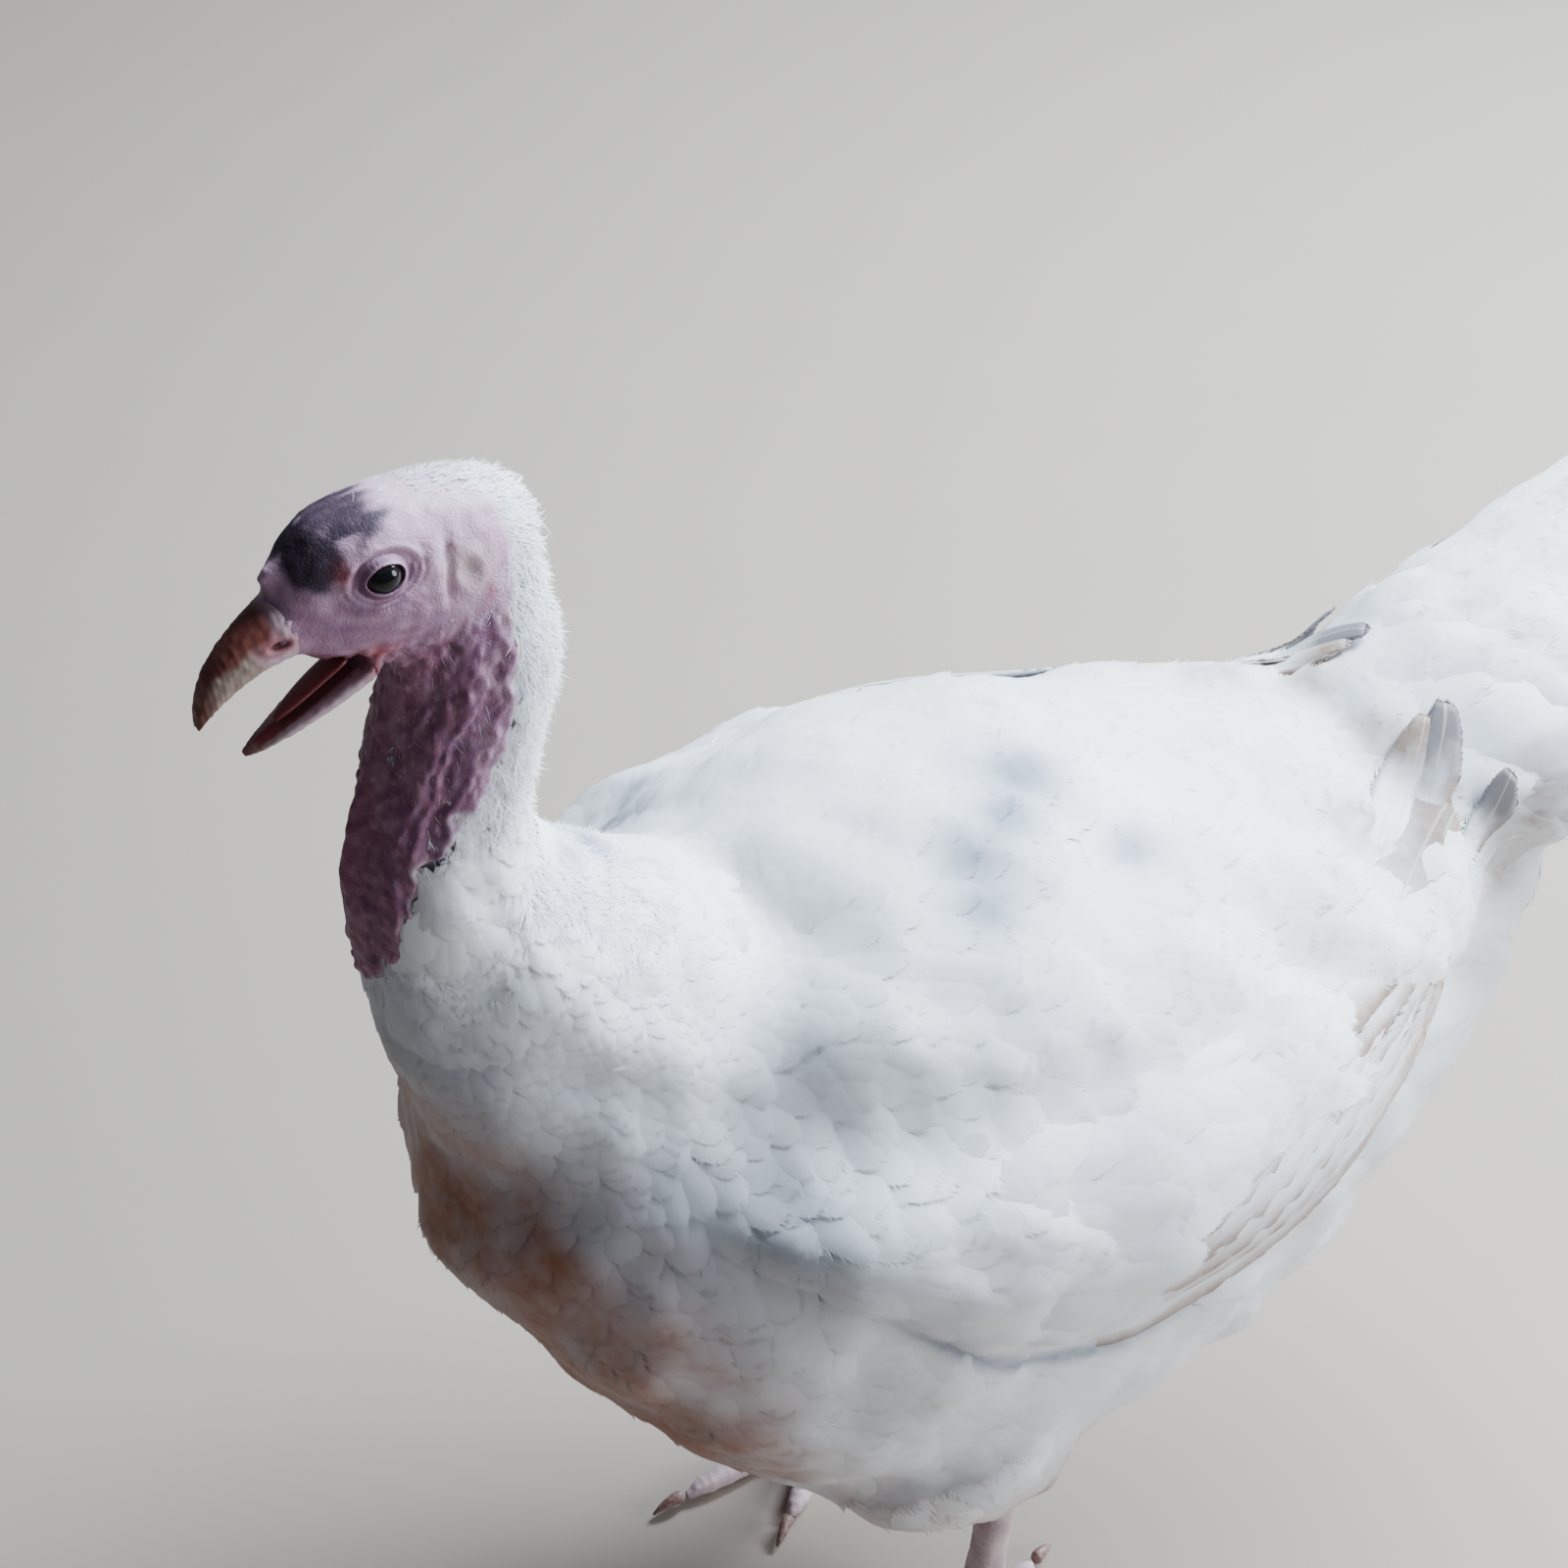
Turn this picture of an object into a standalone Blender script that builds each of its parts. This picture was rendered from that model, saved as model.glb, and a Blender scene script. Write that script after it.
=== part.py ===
"""A white domestic turkey hen, life size, standing with its bill open: the solids.

Metres, +Z up. The bird faces -X, its left side is at -Y, and its soles are at Z = 0.
The feathered outline is modelled whole from lofts, fused, and parted by thin cuts.
"""

import math

import bmesh
import bpy
from mathutils import Matrix, Vector

# Driving sizes, in metres and degrees.
GAP = 0.0004  # clearance that parts every solid from its neighbours
FUSE_VOXEL = 0.0060  # grain of the fused trunk, neck and head
FLESH_FACES = 2100  # triangles kept in the fused trunk, neck and head

SIDES = (("left", -1), ("right", 1))  # name and sign along Y

HEAD_CENTRE = Vector((-0.182, 0.001, 0.578))
HEAD_YAW = 8.6  # towards the bird's left
HEAD_PITCH = 1.8  # bill up
HEAD_ROLL = 10.0  # left eye up
GAPE = 24.0  # opening of the bill

# The head's own frame below is forward, left and up of HEAD_CENTRE.
EYE_RADIUS = 0.0075
EYE_PLACE = Vector((0.0077, 0.0115, 0.0060))
MOUTH_CORNER = Vector((0.0119, 0.0, -0.0181))

# Stations of the lofts. Trunk: along X, bottom, widest height, top, half width.
TRUNK = (
    (-0.194, 0.306, 0.319, 0.331, 0.014),
    (-0.184, 0.286, 0.318, 0.358, 0.044),
    (-0.158, 0.242, 0.302, 0.382, 0.079),
    (-0.112, 0.178, 0.290, 0.398, 0.106),
    (-0.050, 0.133, 0.288, 0.422, 0.124),
    (0.020, 0.124, 0.290, 0.423, 0.124),
    (0.090, 0.136, 0.296, 0.402, 0.112),
    (0.150, 0.162, 0.304, 0.388, 0.090),
    (0.205, 0.210, 0.316, 0.376, 0.064),
    (0.243, 0.264, 0.324, 0.362, 0.036),
)

# Neck: centre X, Y, Z, half depth, half width.
NECK = (
    (-0.100, 0.000, 0.336, 0.068, 0.070),
    (-0.134, 0.000, 0.380, 0.061, 0.058),
    (-0.162, 0.000, 0.423, 0.045, 0.040),
    (-0.176, 0.000, 0.465, 0.0290, 0.0270),
    (-0.169, 0.001, 0.505, 0.0265, 0.0225),
    (-0.158, 0.001, 0.542, 0.0265, 0.0205),
    (-0.165, 0.001, 0.570, 0.022, 0.018),
)

# Head: forward, bottom, widest height, top, half width.
HEAD = (
    (-0.046, -0.008, 0.000, 0.007, 0.006),
    (-0.042, -0.020, 0.000, 0.0140, 0.0140),
    (-0.028, -0.027, 0.001, 0.0224, 0.0190),
    (-0.006, -0.0270, 0.001, 0.0260, 0.0195),
    (0.010, -0.0250, 0.001, 0.0266, 0.0180),
    (0.022, -0.0210, 0.000, 0.0240, 0.0150),
    (0.031, -0.0165, -0.002, 0.0172, 0.0116),
    (0.037, -0.0120, -0.004, 0.0085, 0.0074),
)

# Upper bill: forward, bottom, top, half width.
UPPER_BILL = (
    (0.0330, -0.0160, 0.0060, 0.0100),
    (0.0400, -0.0165, 0.0025, 0.0088),
    (0.0480, -0.0188, -0.0020, 0.0074),
    (0.0550, -0.0222, -0.0075, 0.0058),
    (0.0600, -0.0255, -0.0140, 0.0040),
    (0.0628, -0.0278, -0.0225, 0.0018),
)
PALATE_DEPTH = 0.0035

# Lower bill, along its own axis from the mouth's corner: along, bottom, top, half width.
LOWER_BILL = (
    (0.0020, -0.0086, -0.0006, 0.0112),
    (0.0110, -0.0082, -0.0008, 0.0104),
    (0.0220, -0.0070, -0.0010, 0.0088),
    (0.0330, -0.0056, -0.0012, 0.0062),
    (0.0410, -0.0042, -0.0014, 0.0034),
    (0.0440, -0.0030, -0.0016, 0.0014),
)
TROUGH_DEPTH = 0.0030

# Tongue, along the lower bill: along, bottom, top, half width.
TONGUE = (
    (0.0060, -0.0010, 0.0012, 0.0050),
    (0.0160, -0.0012, 0.0016, 0.0048),
    (0.0260, -0.0016, 0.0010, 0.0034),
    (0.0320, -0.0018, 0.0002, 0.0012),
)

# Dewlap down the front of the neck: X, Z, half depth, half width.
DEWLAP = (
    (-0.184, 0.524, 0.0040, 0.0022),
    (-0.188, 0.512, 0.0085, 0.0034),
    (-0.194, 0.494, 0.0110, 0.0042),
    (-0.200, 0.468, 0.0100, 0.0042),
    (-0.200, 0.446, 0.0075, 0.0034),
    (-0.197, 0.430, 0.0030, 0.0018),
)

# Folded wing: along X, low edge's height and distance out, high edge's, half thickness.
WING = (
    (-0.120, 0.350, 0.098, 0.362, 0.090, 0.004),
    (-0.105, 0.333, 0.110, 0.362, 0.094, 0.008),
    (-0.070, 0.306, 0.124, 0.368, 0.099, 0.010),
    (-0.010, 0.285, 0.131, 0.373, 0.101, 0.011),
    (0.050, 0.285, 0.127, 0.370, 0.094, 0.010),
    (0.100, 0.297, 0.113, 0.364, 0.076, 0.010),
    (0.135, 0.313, 0.097, 0.363, 0.059, 0.009),
    (0.158, 0.331, 0.082, 0.366, 0.047, 0.008),
    (0.175, 0.351, 0.064, 0.371, 0.037, 0.007),
    (0.188, 0.369, 0.046, 0.377, 0.031, 0.006),
    (0.198, 0.379, 0.035, 0.383, 0.027, 0.003),
)
WING_BULGE = 0.115  # swell of the wing's face between its edges, as a share of its height
WING_CORNERS = 14
FLIGHT_EDGE = Vector((0.06, 0.0, 0.336))  # where the coverts give way to the flight feathers
FLIGHT_SLOPE = 20.0  # how steeply that edge climbs towards the tail

# Tail, along its own axis from its root: along, half width, above, below, droop of its sides.
TAIL_ROOT = Vector((0.150, 0.0, 0.350))
TAIL_RISE = 16.0
TAIL = (
    (0.000, 0.046, 0.030, 0.058, 0.004),
    (0.060, 0.060, 0.036, 0.044, 0.006),
    (0.120, 0.072, 0.023, 0.026, 0.009),
    (0.180, 0.081, 0.012, 0.013, 0.012),
    (0.240, 0.087, 0.007, 0.007, 0.014),
    (0.285, 0.081, 0.004, 0.005, 0.013),
    (0.300, 0.044, 0.003, 0.003, 0.005),
)

# Leg: joints of the left leg mirrored to the right, and radii.
KNEE = Vector((-0.042, 0.068, 0.225))
HOCK = Vector((0.008, 0.057, 0.124))
ANKLE = Vector((-0.002, 0.059, 0.020))
THIGH_RADII = (0.058, 0.055, 0.046, 0.034, 0.0190)
SHANK_RADII = ((0.0, 0.0125), (0.10, 0.0115), (0.35, 0.0082), (0.75, 0.0080), (1.0, 0.0110))
SOLE_HEIGHT = 0.0  # level that the bird stands on
MIDDLE = 0.0979  # X of the middle of the bird's outline, where the origin goes

# Toes: name, degrees from straight ahead towards the midline, length, claw length.
TOES = (
    ("inner", 40.0, 0.052, 0.014),
    ("middle", 4.0, 0.074, 0.015),
    ("outer", -36.0, 0.056, 0.014),
    ("hind", 158.0, 0.036, 0.012),
)
TOE_RADIUS = 0.0066
KNUCKLES = 2

SKIN = (0.62, 0.45, 0.50)
DARK_SKIN = (0.36, 0.20, 0.26)
FEATHER = (0.86, 0.85, 0.84)
HORN = (0.62, 0.50, 0.40)
MOUTH = (0.30, 0.06, 0.06)
SCALE = (0.62, 0.50, 0.48)


def clear_scene():
    for item in list(bpy.data.objects):
        bpy.data.objects.remove(item)


def dress(item, name, colour, roughness):
    """Names a finished sub-part and gives it a plain material of its colour."""
    item.name = name
    item.data.name = name
    made = bpy.data.materials.new(name)
    made.use_nodes = True
    shader = made.node_tree.nodes["Principled BSDF"]
    shader.inputs["Base Color"].default_value = (*colour, 1.0)
    shader.inputs["Roughness"].default_value = roughness
    shader.inputs["Metallic"].default_value = 0.0
    item.data.materials.clear()
    item.data.materials.append(made)
    return item


def smooth_rows(rows, samples):
    """Rows of numbers read at even steps along a Catmull-Rom curve through the given rows."""
    found = []
    spans = len(rows) - 1
    for step in range(samples):
        place = step / (samples - 1) * spans
        first = min(int(place), spans - 1)
        part = place - first
        before, start, end, after = (
            rows[min(max(first + k, 0), spans)] for k in (-1, 0, 1, 2)
        )
        found.append(
            tuple(
                0.5 * (2 * b + (c - a) * part + (2 * a - 5 * b + 4 * c - d) * part**2
                       + (3 * b - a - 3 * c + d) * part**3)
                for a, b, c, d in zip(before, start, end, after)
            )
        )
    return found


def power(value, exponent):
    return math.copysign(abs(value) ** exponent, value)


def oval(centre, aside, upward, half_width, above, below, squareness=2.0, corners=28):
    """A closed ring: an oval whose upper and lower halves have their own heights."""
    ring = []
    for corner in range(corners):
        angle = 2 * math.pi * corner / corners
        across = half_width * power(math.cos(angle), 2 / squareness)
        height = above if math.sin(angle) > 0 else below
        rise = height * power(math.sin(angle), 2 / squareness)
        ring.append(centre + aside * across + upward * rise)
    return ring


def object_of(name, shape):
    mesh = bpy.data.meshes.new(name)
    shape.to_mesh(mesh)
    shape.free()
    made = bpy.data.objects.new(name, mesh)
    bpy.context.scene.collection.objects.link(made)
    return made


def loft(name, rings):
    """One closed mesh through rings of equal length, each end closed by a centre point."""
    shape = bmesh.new()
    loops = [[shape.verts.new(point) for point in ring] for ring in rings]
    count = len(rings[0])
    for near, far in zip(loops, loops[1:]):
        for corner in range(count):
            after = (corner + 1) % count
            shape.faces.new((near[corner], near[after], far[after], far[corner]))
    for loop in (loops[0], loops[-1]):
        middle = shape.verts.new(sum((v.co for v in loop), Vector()) / count)
        for corner in range(count):
            shape.faces.new((loop[corner], loop[(corner + 1) % count], middle))
    bmesh.ops.recalc_face_normals(shape, faces=shape.faces)
    return object_of(name, shape)


def evaluated_copy(name, source):
    """A new mesh object holding the source as its modifiers leave it."""
    graph = bpy.context.evaluated_depsgraph_get()
    mesh = bpy.data.meshes.new_from_object(source.evaluated_get(graph))
    made = bpy.data.objects.new(name, mesh)
    bpy.context.scene.collection.objects.link(made)
    return made


def discard(*items):
    for item in items:
        bpy.data.objects.remove(item)


def fuse(name, pieces, voxel, smoothing, faces):
    """Several overlapping closed meshes made one smooth skin of about that many triangles."""
    whole = bmesh.new()
    for piece in pieces:
        whole.from_mesh(piece.data)
    rough = object_of(name + "_rough", whole)
    remesh = rough.modifiers.new("grain", "REMESH")
    remesh.mode = "VOXEL"
    remesh.voxel_size = voxel
    smooth = rough.modifiers.new("smooth", "SMOOTH")
    smooth.iterations = smoothing
    smooth.factor = 0.5
    bpy.context.view_layer.update()
    fine = evaluated_copy(name + "_fine", rough)
    fewer = fine.modifiers.new("fewer", "DECIMATE")
    triangles = sum(len(face.vertices) - 2 for face in fine.data.polygons)
    fewer.ratio = faces / triangles
    bpy.context.view_layer.update()
    made = evaluated_copy(name, fine)
    discard(rough, fine, *pieces)
    return made


def keep_side(shape, point, normal):
    """Cuts a closed bmesh by a plane, keeps the side that the normal points to, and caps it."""
    everything = shape.verts[:] + shape.edges[:] + shape.faces[:]
    cut = bmesh.ops.bisect_plane(
        shape, geom=everything, plane_co=point, plane_no=normal, clear_inner=True, dist=1e-6
    )
    rim = [part for part in cut["geom_cut"] if isinstance(part, bmesh.types.BMEdge)]
    bmesh.ops.holes_fill(shape, edges=rim, sides=0)
    bmesh.ops.triangulate(shape, faces=[face for face in shape.faces if len(face.verts) > 4])


def cut_lengths(source, planes):
    """The source cut by (point, normal) planes into len(planes) + 1 lengths, GAP apart."""
    lengths = []
    for index in range(len(planes) + 1):
        shape = bmesh.new()
        shape.from_mesh(source.data)
        if index > 0:
            point, normal = planes[index - 1]
            keep_side(shape, point + normal * GAP / 2, normal)
        if index < len(planes):
            point, normal = planes[index]
            keep_side(shape, point - normal * GAP / 2, -normal)
        bmesh.ops.recalc_face_normals(shape, faces=shape.faces)
        lengths.append(largest_body(object_of(f"{source.name}_{index}", shape)))
    return lengths


def swollen(source, by):
    """A copy pushed out along its normals."""
    shape = bmesh.new()
    shape.from_mesh(source.data)
    shape.normal_update()
    moves = [(v, v.co + v.normal * by) for v in shape.verts]
    for vertex, place in moves:
        vertex.co = place
    return object_of(source.name + "_swollen", shape)


def carve(item, *cutters, clearance=GAP, solver="EXACT"):
    """Takes each cutter, swollen by the clearance, out of the item."""
    for cutter in cutters:
        tool = swollen(cutter, clearance) if clearance else cutter
        boolean = item.modifiers.new("carve", "BOOLEAN")
        boolean.operation = "DIFFERENCE"
        boolean.object = tool
        boolean.solver = solver
        bpy.context.view_layer.update()
        made = evaluated_copy(item.name + "_carved", item)
        discard(item)
        if clearance:
            discard(tool)
        item = made
    return largest_body(item)


def largest_body(item):
    """Drops crumbs that a cut left, and keeps the body with the most vertices."""
    shape = bmesh.new()
    shape.from_mesh(item.data)
    left = set(shape.verts)
    bodies = []
    while left:
        found, front = set(), [next(iter(left))]
        while front:
            vertex = front.pop()
            if vertex in found:
                continue
            found.add(vertex)
            front += [edge.other_vert(vertex) for edge in vertex.link_edges]
        left -= found
        bodies.append(found)
    keep = max(bodies, key=len)
    bmesh.ops.delete(shape, geom=[v for v in shape.verts if v not in keep], context="VERTS")
    name = item.name
    discard(item)
    return object_of(name, shape)


def trunk_loft():
    rings = [
        oval(Vector((along, 0.0, widest)), Vector((0, 1, 0)), Vector((0, 0, 1)), half_width,
             top - widest, widest - bottom, 2.15, 40)
        for along, bottom, widest, top, half_width in smooth_rows(TRUNK, 30)
    ]
    return loft("trunk_form", rings)


def neck_loft():
    rows = smooth_rows(NECK, 26)
    rings = []
    for index, (x, y, z, half_depth, half_width) in enumerate(rows):
        before = Vector(rows[max(index - 1, 0)][:3])
        after = Vector(rows[min(index + 1, len(rows) - 1)][:3])
        along = (after - before).normalized()
        aside = Vector((0, 1, 0))
        forward = aside.cross(along).normalized()
        rings.append(
            oval(Vector((x, y, z)), aside, forward, half_width, half_depth, half_depth)
        )
    return loft("neck_form", rings)


def head_frame():
    """The matrix that takes forward, left and up of the head to where they are."""
    pitch = math.radians(HEAD_PITCH)
    turn = Matrix.Rotation(math.radians(HEAD_YAW), 3, "Z")
    roll = math.radians(HEAD_ROLL)
    forward = turn @ Vector((-math.cos(pitch), 0.0, math.sin(pitch)))
    level = turn @ Vector((0, -1, 0))
    left = level * math.cos(roll) + forward.cross(level) * math.sin(roll)
    place = Matrix((forward, left, forward.cross(left))).transposed().to_4x4()
    place.translation = HEAD_CENTRE
    return place


def jaw_frame():
    """The lower bill's frame: from the mouth's corner, turned down by the gape."""
    turn = Matrix.Rotation(math.radians(GAPE), 4, "Y")
    return head_frame() @ Matrix.Translation(MOUTH_CORNER) @ turn


def profile_loft(name, rows, samples, frame, squareness, corners, hollow=None):
    """A loft along a frame's first axis from rows of along, bottom, top and half width.

    hollow is (side, depth): a groove down the middle of the top (1) or the underside (-1).
    """
    rings = []
    for along, bottom, top, half_width in smooth_rows(rows, samples):
        middle, half = (top + bottom) / 2, (top - bottom) / 2
        ring = oval(Vector((along, 0, middle)), Vector((0, 1, 0)), Vector((0, 0, 1)),
                    half_width, half, half, squareness, corners)
        if hollow:
            side, depth = hollow
            groove = min(depth, 0.55 * 2 * half)
            for point in ring:
                if (point.z - middle) * side > 1e-6:
                    share = 1 - (point.y / half_width) ** 2
                    point.z -= side * groove * share
        rings.append(ring)
    made = loft(name, rings)
    made.data.transform(frame)
    return made


def head_loft():
    rings = [
        oval(Vector((along, 0.0, widest)), Vector((0, 1, 0)), Vector((0, 0, 1)), half_width,
             top - widest, widest - bottom, 2.2, 28)
        for along, bottom, widest, top, half_width in smooth_rows(HEAD, 24)
    ]
    made = loft("head_form", rings)
    made.data.transform(head_frame())
    return made


def eyeball(side):
    """An eyeball, mirrored in the head's own frame."""
    shape = bmesh.new()
    bmesh.ops.create_uvsphere(shape, u_segments=12, v_segments=8, radius=EYE_RADIUS)
    place = Vector((EYE_PLACE.x, -side * EYE_PLACE.y, EYE_PLACE.z))
    bmesh.ops.transform(shape, matrix=head_frame() @ Matrix.Translation(place), verts=shape.verts)
    return object_of("eyeball", shape)


def mouth_wedge():
    """The space that the open mouth takes out of the closed head."""
    shape = bmesh.new()
    bmesh.ops.create_cube(shape, size=0.06)
    bmesh.ops.translate(shape, vec=(0.03, 0, -0.03), verts=shape.verts)
    bmesh.ops.transform(
        shape, matrix=head_frame() @ Matrix.Translation(MOUTH_CORNER), verts=shape.verts
    )
    return object_of("mouth_wedge", shape)


def snood():
    """A small fleshy finger at the root of the upper bill."""
    root, tip = Vector((0.0290, 0.0, 0.0120)), Vector((0.0400, 0.001, 0.0098))
    rings = []
    for step in range(6):
        share = step / 5
        radius = 0.0036 * math.sqrt(max(1 - share**2, 0.02)) + 0.0004
        rings.append(
            oval(root.lerp(tip, share), Vector((0, 1, 0)), Vector((0, 0, 1)),
                 radius, radius, radius, 2.0, 10)
        )
    made = loft("snood", rings)
    made.data.transform(head_frame())
    return made


def dewlap():
    rings = [
        oval(Vector((x, -0.002, z)), Vector((0, 1, 0)), Vector((1, 0, 0)),
             half_width, half_depth, half_depth, 2.0, 10)
        for x, z, half_depth, half_width in smooth_rows(DEWLAP, 10)
    ]
    return loft("dewlap", rings)


def wing_form(side):
    """A lens standing on edge along the trunk's side, its top edge leaning in over the back."""
    rings = []
    for along, low, low_reach, high, high_reach, half_thickness in smooth_rows(WING, 16):
        bottom, top = Vector((along, low_reach, low)), Vector((along, high_reach, high))
        outward = (top - bottom).cross(Vector((1, 0, 0))).normalized()
        ring = []
        for corner in range(WING_CORNERS):
            angle = 2 * math.pi * corner / WING_CORNERS
            level = (power(math.cos(angle), 0.85) + 1) / 2
            swell = WING_BULGE * (top - bottom).length * math.sin(math.pi * level)
            out = swell + half_thickness * power(math.sin(angle), 0.9)
            point = bottom.lerp(top, level) + outward * out
            ring.append(Vector((point.x, side * point.y, point.z)))
        rings.append(ring)
    return loft("wing_form", rings)


def tail_form():
    rings = []
    frame = Matrix.Translation(TAIL_ROOT) @ Matrix.Rotation(-math.radians(TAIL_RISE), 4, "Y")
    for along, half_width, above, below, droop in smooth_rows(TAIL, 11):
        ring = oval(Vector((along, 0, 0)), Vector((0, 1, 0)), Vector((0, 0, 1)),
                    half_width, above, below, 2.2, 16)
        for point in ring:
            point.z -= droop * (point.y / half_width) ** 2
        rings.append(ring)
    made = loft("tail_form", rings)
    made.data.transform(frame)
    return made


def limb(name, stations, corners):
    """A round limb through (centre, radius) stations."""
    rings = []
    for index, (centre, radius) in enumerate(stations):
        before = stations[max(index - 1, 0)][0]
        after = stations[min(index + 1, len(stations) - 1)][0]
        along = (after - before).normalized()
        aside = Vector((0, 1, 0))
        forward = aside.cross(along).normalized()
        aside = along.cross(forward).normalized()
        rings.append(oval(centre, aside, forward, radius, radius, radius, 2.0, corners))
    return loft(name, rings)


def on_side(point, side):
    return Vector((point.x, side * point.y, point.z))


def thigh(side):
    knee, hock = on_side(KNEE, side), on_side(HOCK, side)
    count = len(THIGH_RADII) - 1
    rows = [
        (*knee.lerp(hock, index / count), radius) for index, radius in enumerate(THIGH_RADII)
    ]
    stations = [(Vector(row[:3]), row[3]) for row in smooth_rows(rows, 9)]
    return limb("thigh", stations, 16)


def shank(side):
    """Hock joint, shank and the pad under the toes' roots, flat on the ground."""
    hock, ankle = on_side(HOCK, side), on_side(ANKLE, side)
    rows = [(*hock.lerp(ankle, along), radius) for along, radius in SHANK_RADII]
    pad = Vector((ankle.x - 0.001, ankle.y, 0.008))
    rows.append((*pad, 0.0125))
    rows.append((pad.x, pad.y, SOLE_HEIGHT, 0.0105))
    stations = [(Vector(row[:3]), row[3]) for row in smooth_rows(rows, 14)]
    made = limb("shank", stations, 12)
    for vertex in made.data.vertices:
        vertex.co.z = max(vertex.co.z, SOLE_HEIGHT)
    return made


def toe_direction(side, degrees):
    turn = math.radians(degrees) * side
    return Vector((-math.cos(turn), -math.sin(turn), 0.0))


def toe(side, degrees, length):
    """A jointed toe, flattened where it meets the ground."""
    ankle = on_side(ANKLE, side)
    direction = toe_direction(side, degrees)
    aside = Vector((-direction.y, direction.x, 0))
    rings = []
    steps = 6
    for step in range(steps + 1):
        share = step / steps
        swell = 0.5 - 0.5 * math.cos(2 * math.pi * KNUCKLES * share)
        radius = TOE_RADIUS * (1.05 - 0.35 * share) * (0.90 + 0.14 * swell)
        radius *= 0.55 if step == steps else 1.0
        height = 0.0048 + 0.005 * max(0.0, 1 - share * 3)
        centre = Vector((ankle.x, ankle.y, height)) + direction * (0.004 + length * share)
        ring = oval(centre, aside, Vector((0, 0, 1)), radius, radius * 1.05, radius * 1.2,
                    2.2, 8)
        for point in ring:
            point.z = max(point.z, SOLE_HEIGHT)
        rings.append(ring)
    return loft("toe", rings)


def claw(side, degrees, length, reach):
    """A blunt, slightly hooked claw in front of its toe."""
    ankle = on_side(ANKLE, side)
    direction = toe_direction(side, degrees)
    aside = Vector((-direction.y, direction.x, 0))
    rings = []
    steps = 4
    for step in range(steps + 1):
        share = step / steps
        radius = 0.0031 * (1 - share) ** 0.7 + 0.0006
        height = 0.0050 + 0.0016 * math.sin(math.pi * share * 0.8) - 0.0034 * share**2
        centre = Vector((ankle.x, ankle.y, height)) + direction * (
            0.004 + length + GAP + reach * share
        )
        rings.append(
            oval(centre, aside, Vector((0, 0, 1)), radius, radius * 1.2, radius, 2.0, 6)
        )
    return loft("claw", rings)


def build_flesh():
    """Head, two lengths of neck and trunk, cut from one fused form."""
    flesh = fuse("flesh", [trunk_loft(), neck_loft(), head_loft()], FUSE_VOXEL, 5, FLESH_FACES)
    planes = (
        (Vector((-0.130, 0.0, 0.400)), Vector((-0.50, 0.0, 0.866)).normalized()),
        (Vector((-0.170, 0.0, 0.474)), Vector((-0.10, 0.0, 1.0)).normalized()),
        (Vector((-0.166, 0.0, 0.551)), Vector((-0.45, 0.0, 0.89)).normalized()),
    )
    lengths = cut_lengths(flesh, planes)
    discard(flesh)
    return lengths


def build_head(head):
    eyes = [eyeball(side) for _, side in SIDES]
    head = carve(head, *eyes)
    wedge = mouth_wedge()
    head = carve(head, wedge, clearance=0)
    discard(wedge)
    upper = profile_loft("bill_upper", UPPER_BILL, 9, head_frame(), 2.3, 14, (-1, PALATE_DEPTH))
    upper = carve(upper, head)
    lower = profile_loft("bill_lower", LOWER_BILL, 8, jaw_frame(), 2.3, 14, (1, TROUGH_DEPTH))
    lower = carve(lower, head, upper)
    tongue = profile_loft("tongue", TONGUE, 6, jaw_frame(), 2.0, 10)
    tongue = carve(tongue, lower, head)
    nub = carve(snood(), head, upper)
    dress(head, "head", SKIN, 0.6)
    dress(upper, "bill_upper", HORN, 0.4)
    dress(lower, "bill_lower", HORN, 0.4)
    dress(tongue, "tongue", MOUTH, 0.35)
    dress(nub, "snood", SKIN, 0.5)
    for (name, _), eye in zip(SIDES, eyes):
        dress(eye, f"eye_{name}", (0.03, 0.02, 0.02), 0.05)
    return head


def build_wing(name, side, trunk, tail):
    whole = carve(wing_form(side), trunk)
    # The exact solver loses the whole wing in this cut on one side, and both meshes are closed.
    whole = carve(whole, tail, solver="MANIFOLD")
    slope = math.radians(FLIGHT_SLOPE)
    upper_side = Vector((-math.sin(slope), 0.0, math.cos(slope)))
    flight, coverts = cut_lengths(whole, [(FLIGHT_EDGE, upper_side)])
    discard(whole)
    dress(coverts, f"wing_{name}_coverts", FEATHER, 0.8)
    dress(flight, f"wing_{name}_flight", FEATHER, 0.7)
    return [coverts, flight]


def build_leg(name, side, trunk, wings):
    upper = carve(thigh(side), trunk, *wings)
    lower = carve(shank(side), upper)
    dress(upper, f"thigh_{name}", FEATHER, 0.8)
    dress(lower, f"shank_{name}", SCALE, 0.6)
    grown = []
    for label, degrees, length, reach in TOES:
        nail = claw(side, degrees, length, reach)
        digit = carve(toe(side, degrees, length), lower, *grown)
        grown.append(digit)
        dress(digit, f"toe_{name}_{label}", SCALE, 0.6)
        dress(nail, f"claw_{name}_{label}", HORN, 0.4)


def main():
    clear_scene()
    trunk, neck_lower, neck_upper, head = build_flesh()
    head = build_head(head)
    fold = carve(dewlap(), neck_upper, neck_lower, head)
    dress(trunk, "trunk", FEATHER, 0.85)
    dress(neck_lower, "neck_lower", FEATHER, 0.85)
    dress(neck_upper, "neck_upper", DARK_SKIN, 0.6)
    dress(fold, "dewlap", DARK_SKIN, 0.5)
    # The exact solver turns this one cut inside out, and both meshes are closed.
    tail = dress(carve(tail_form(), trunk, solver="MANIFOLD"), "tail", FEATHER, 0.75)
    for name, side in SIDES:
        pair = build_wing(name, side, trunk, tail)
        build_leg(name, side, trunk, pair)
    for item in bpy.context.scene.objects:
        item.data.transform(Matrix.Translation((-MIDDLE, 0, 0)))


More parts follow.
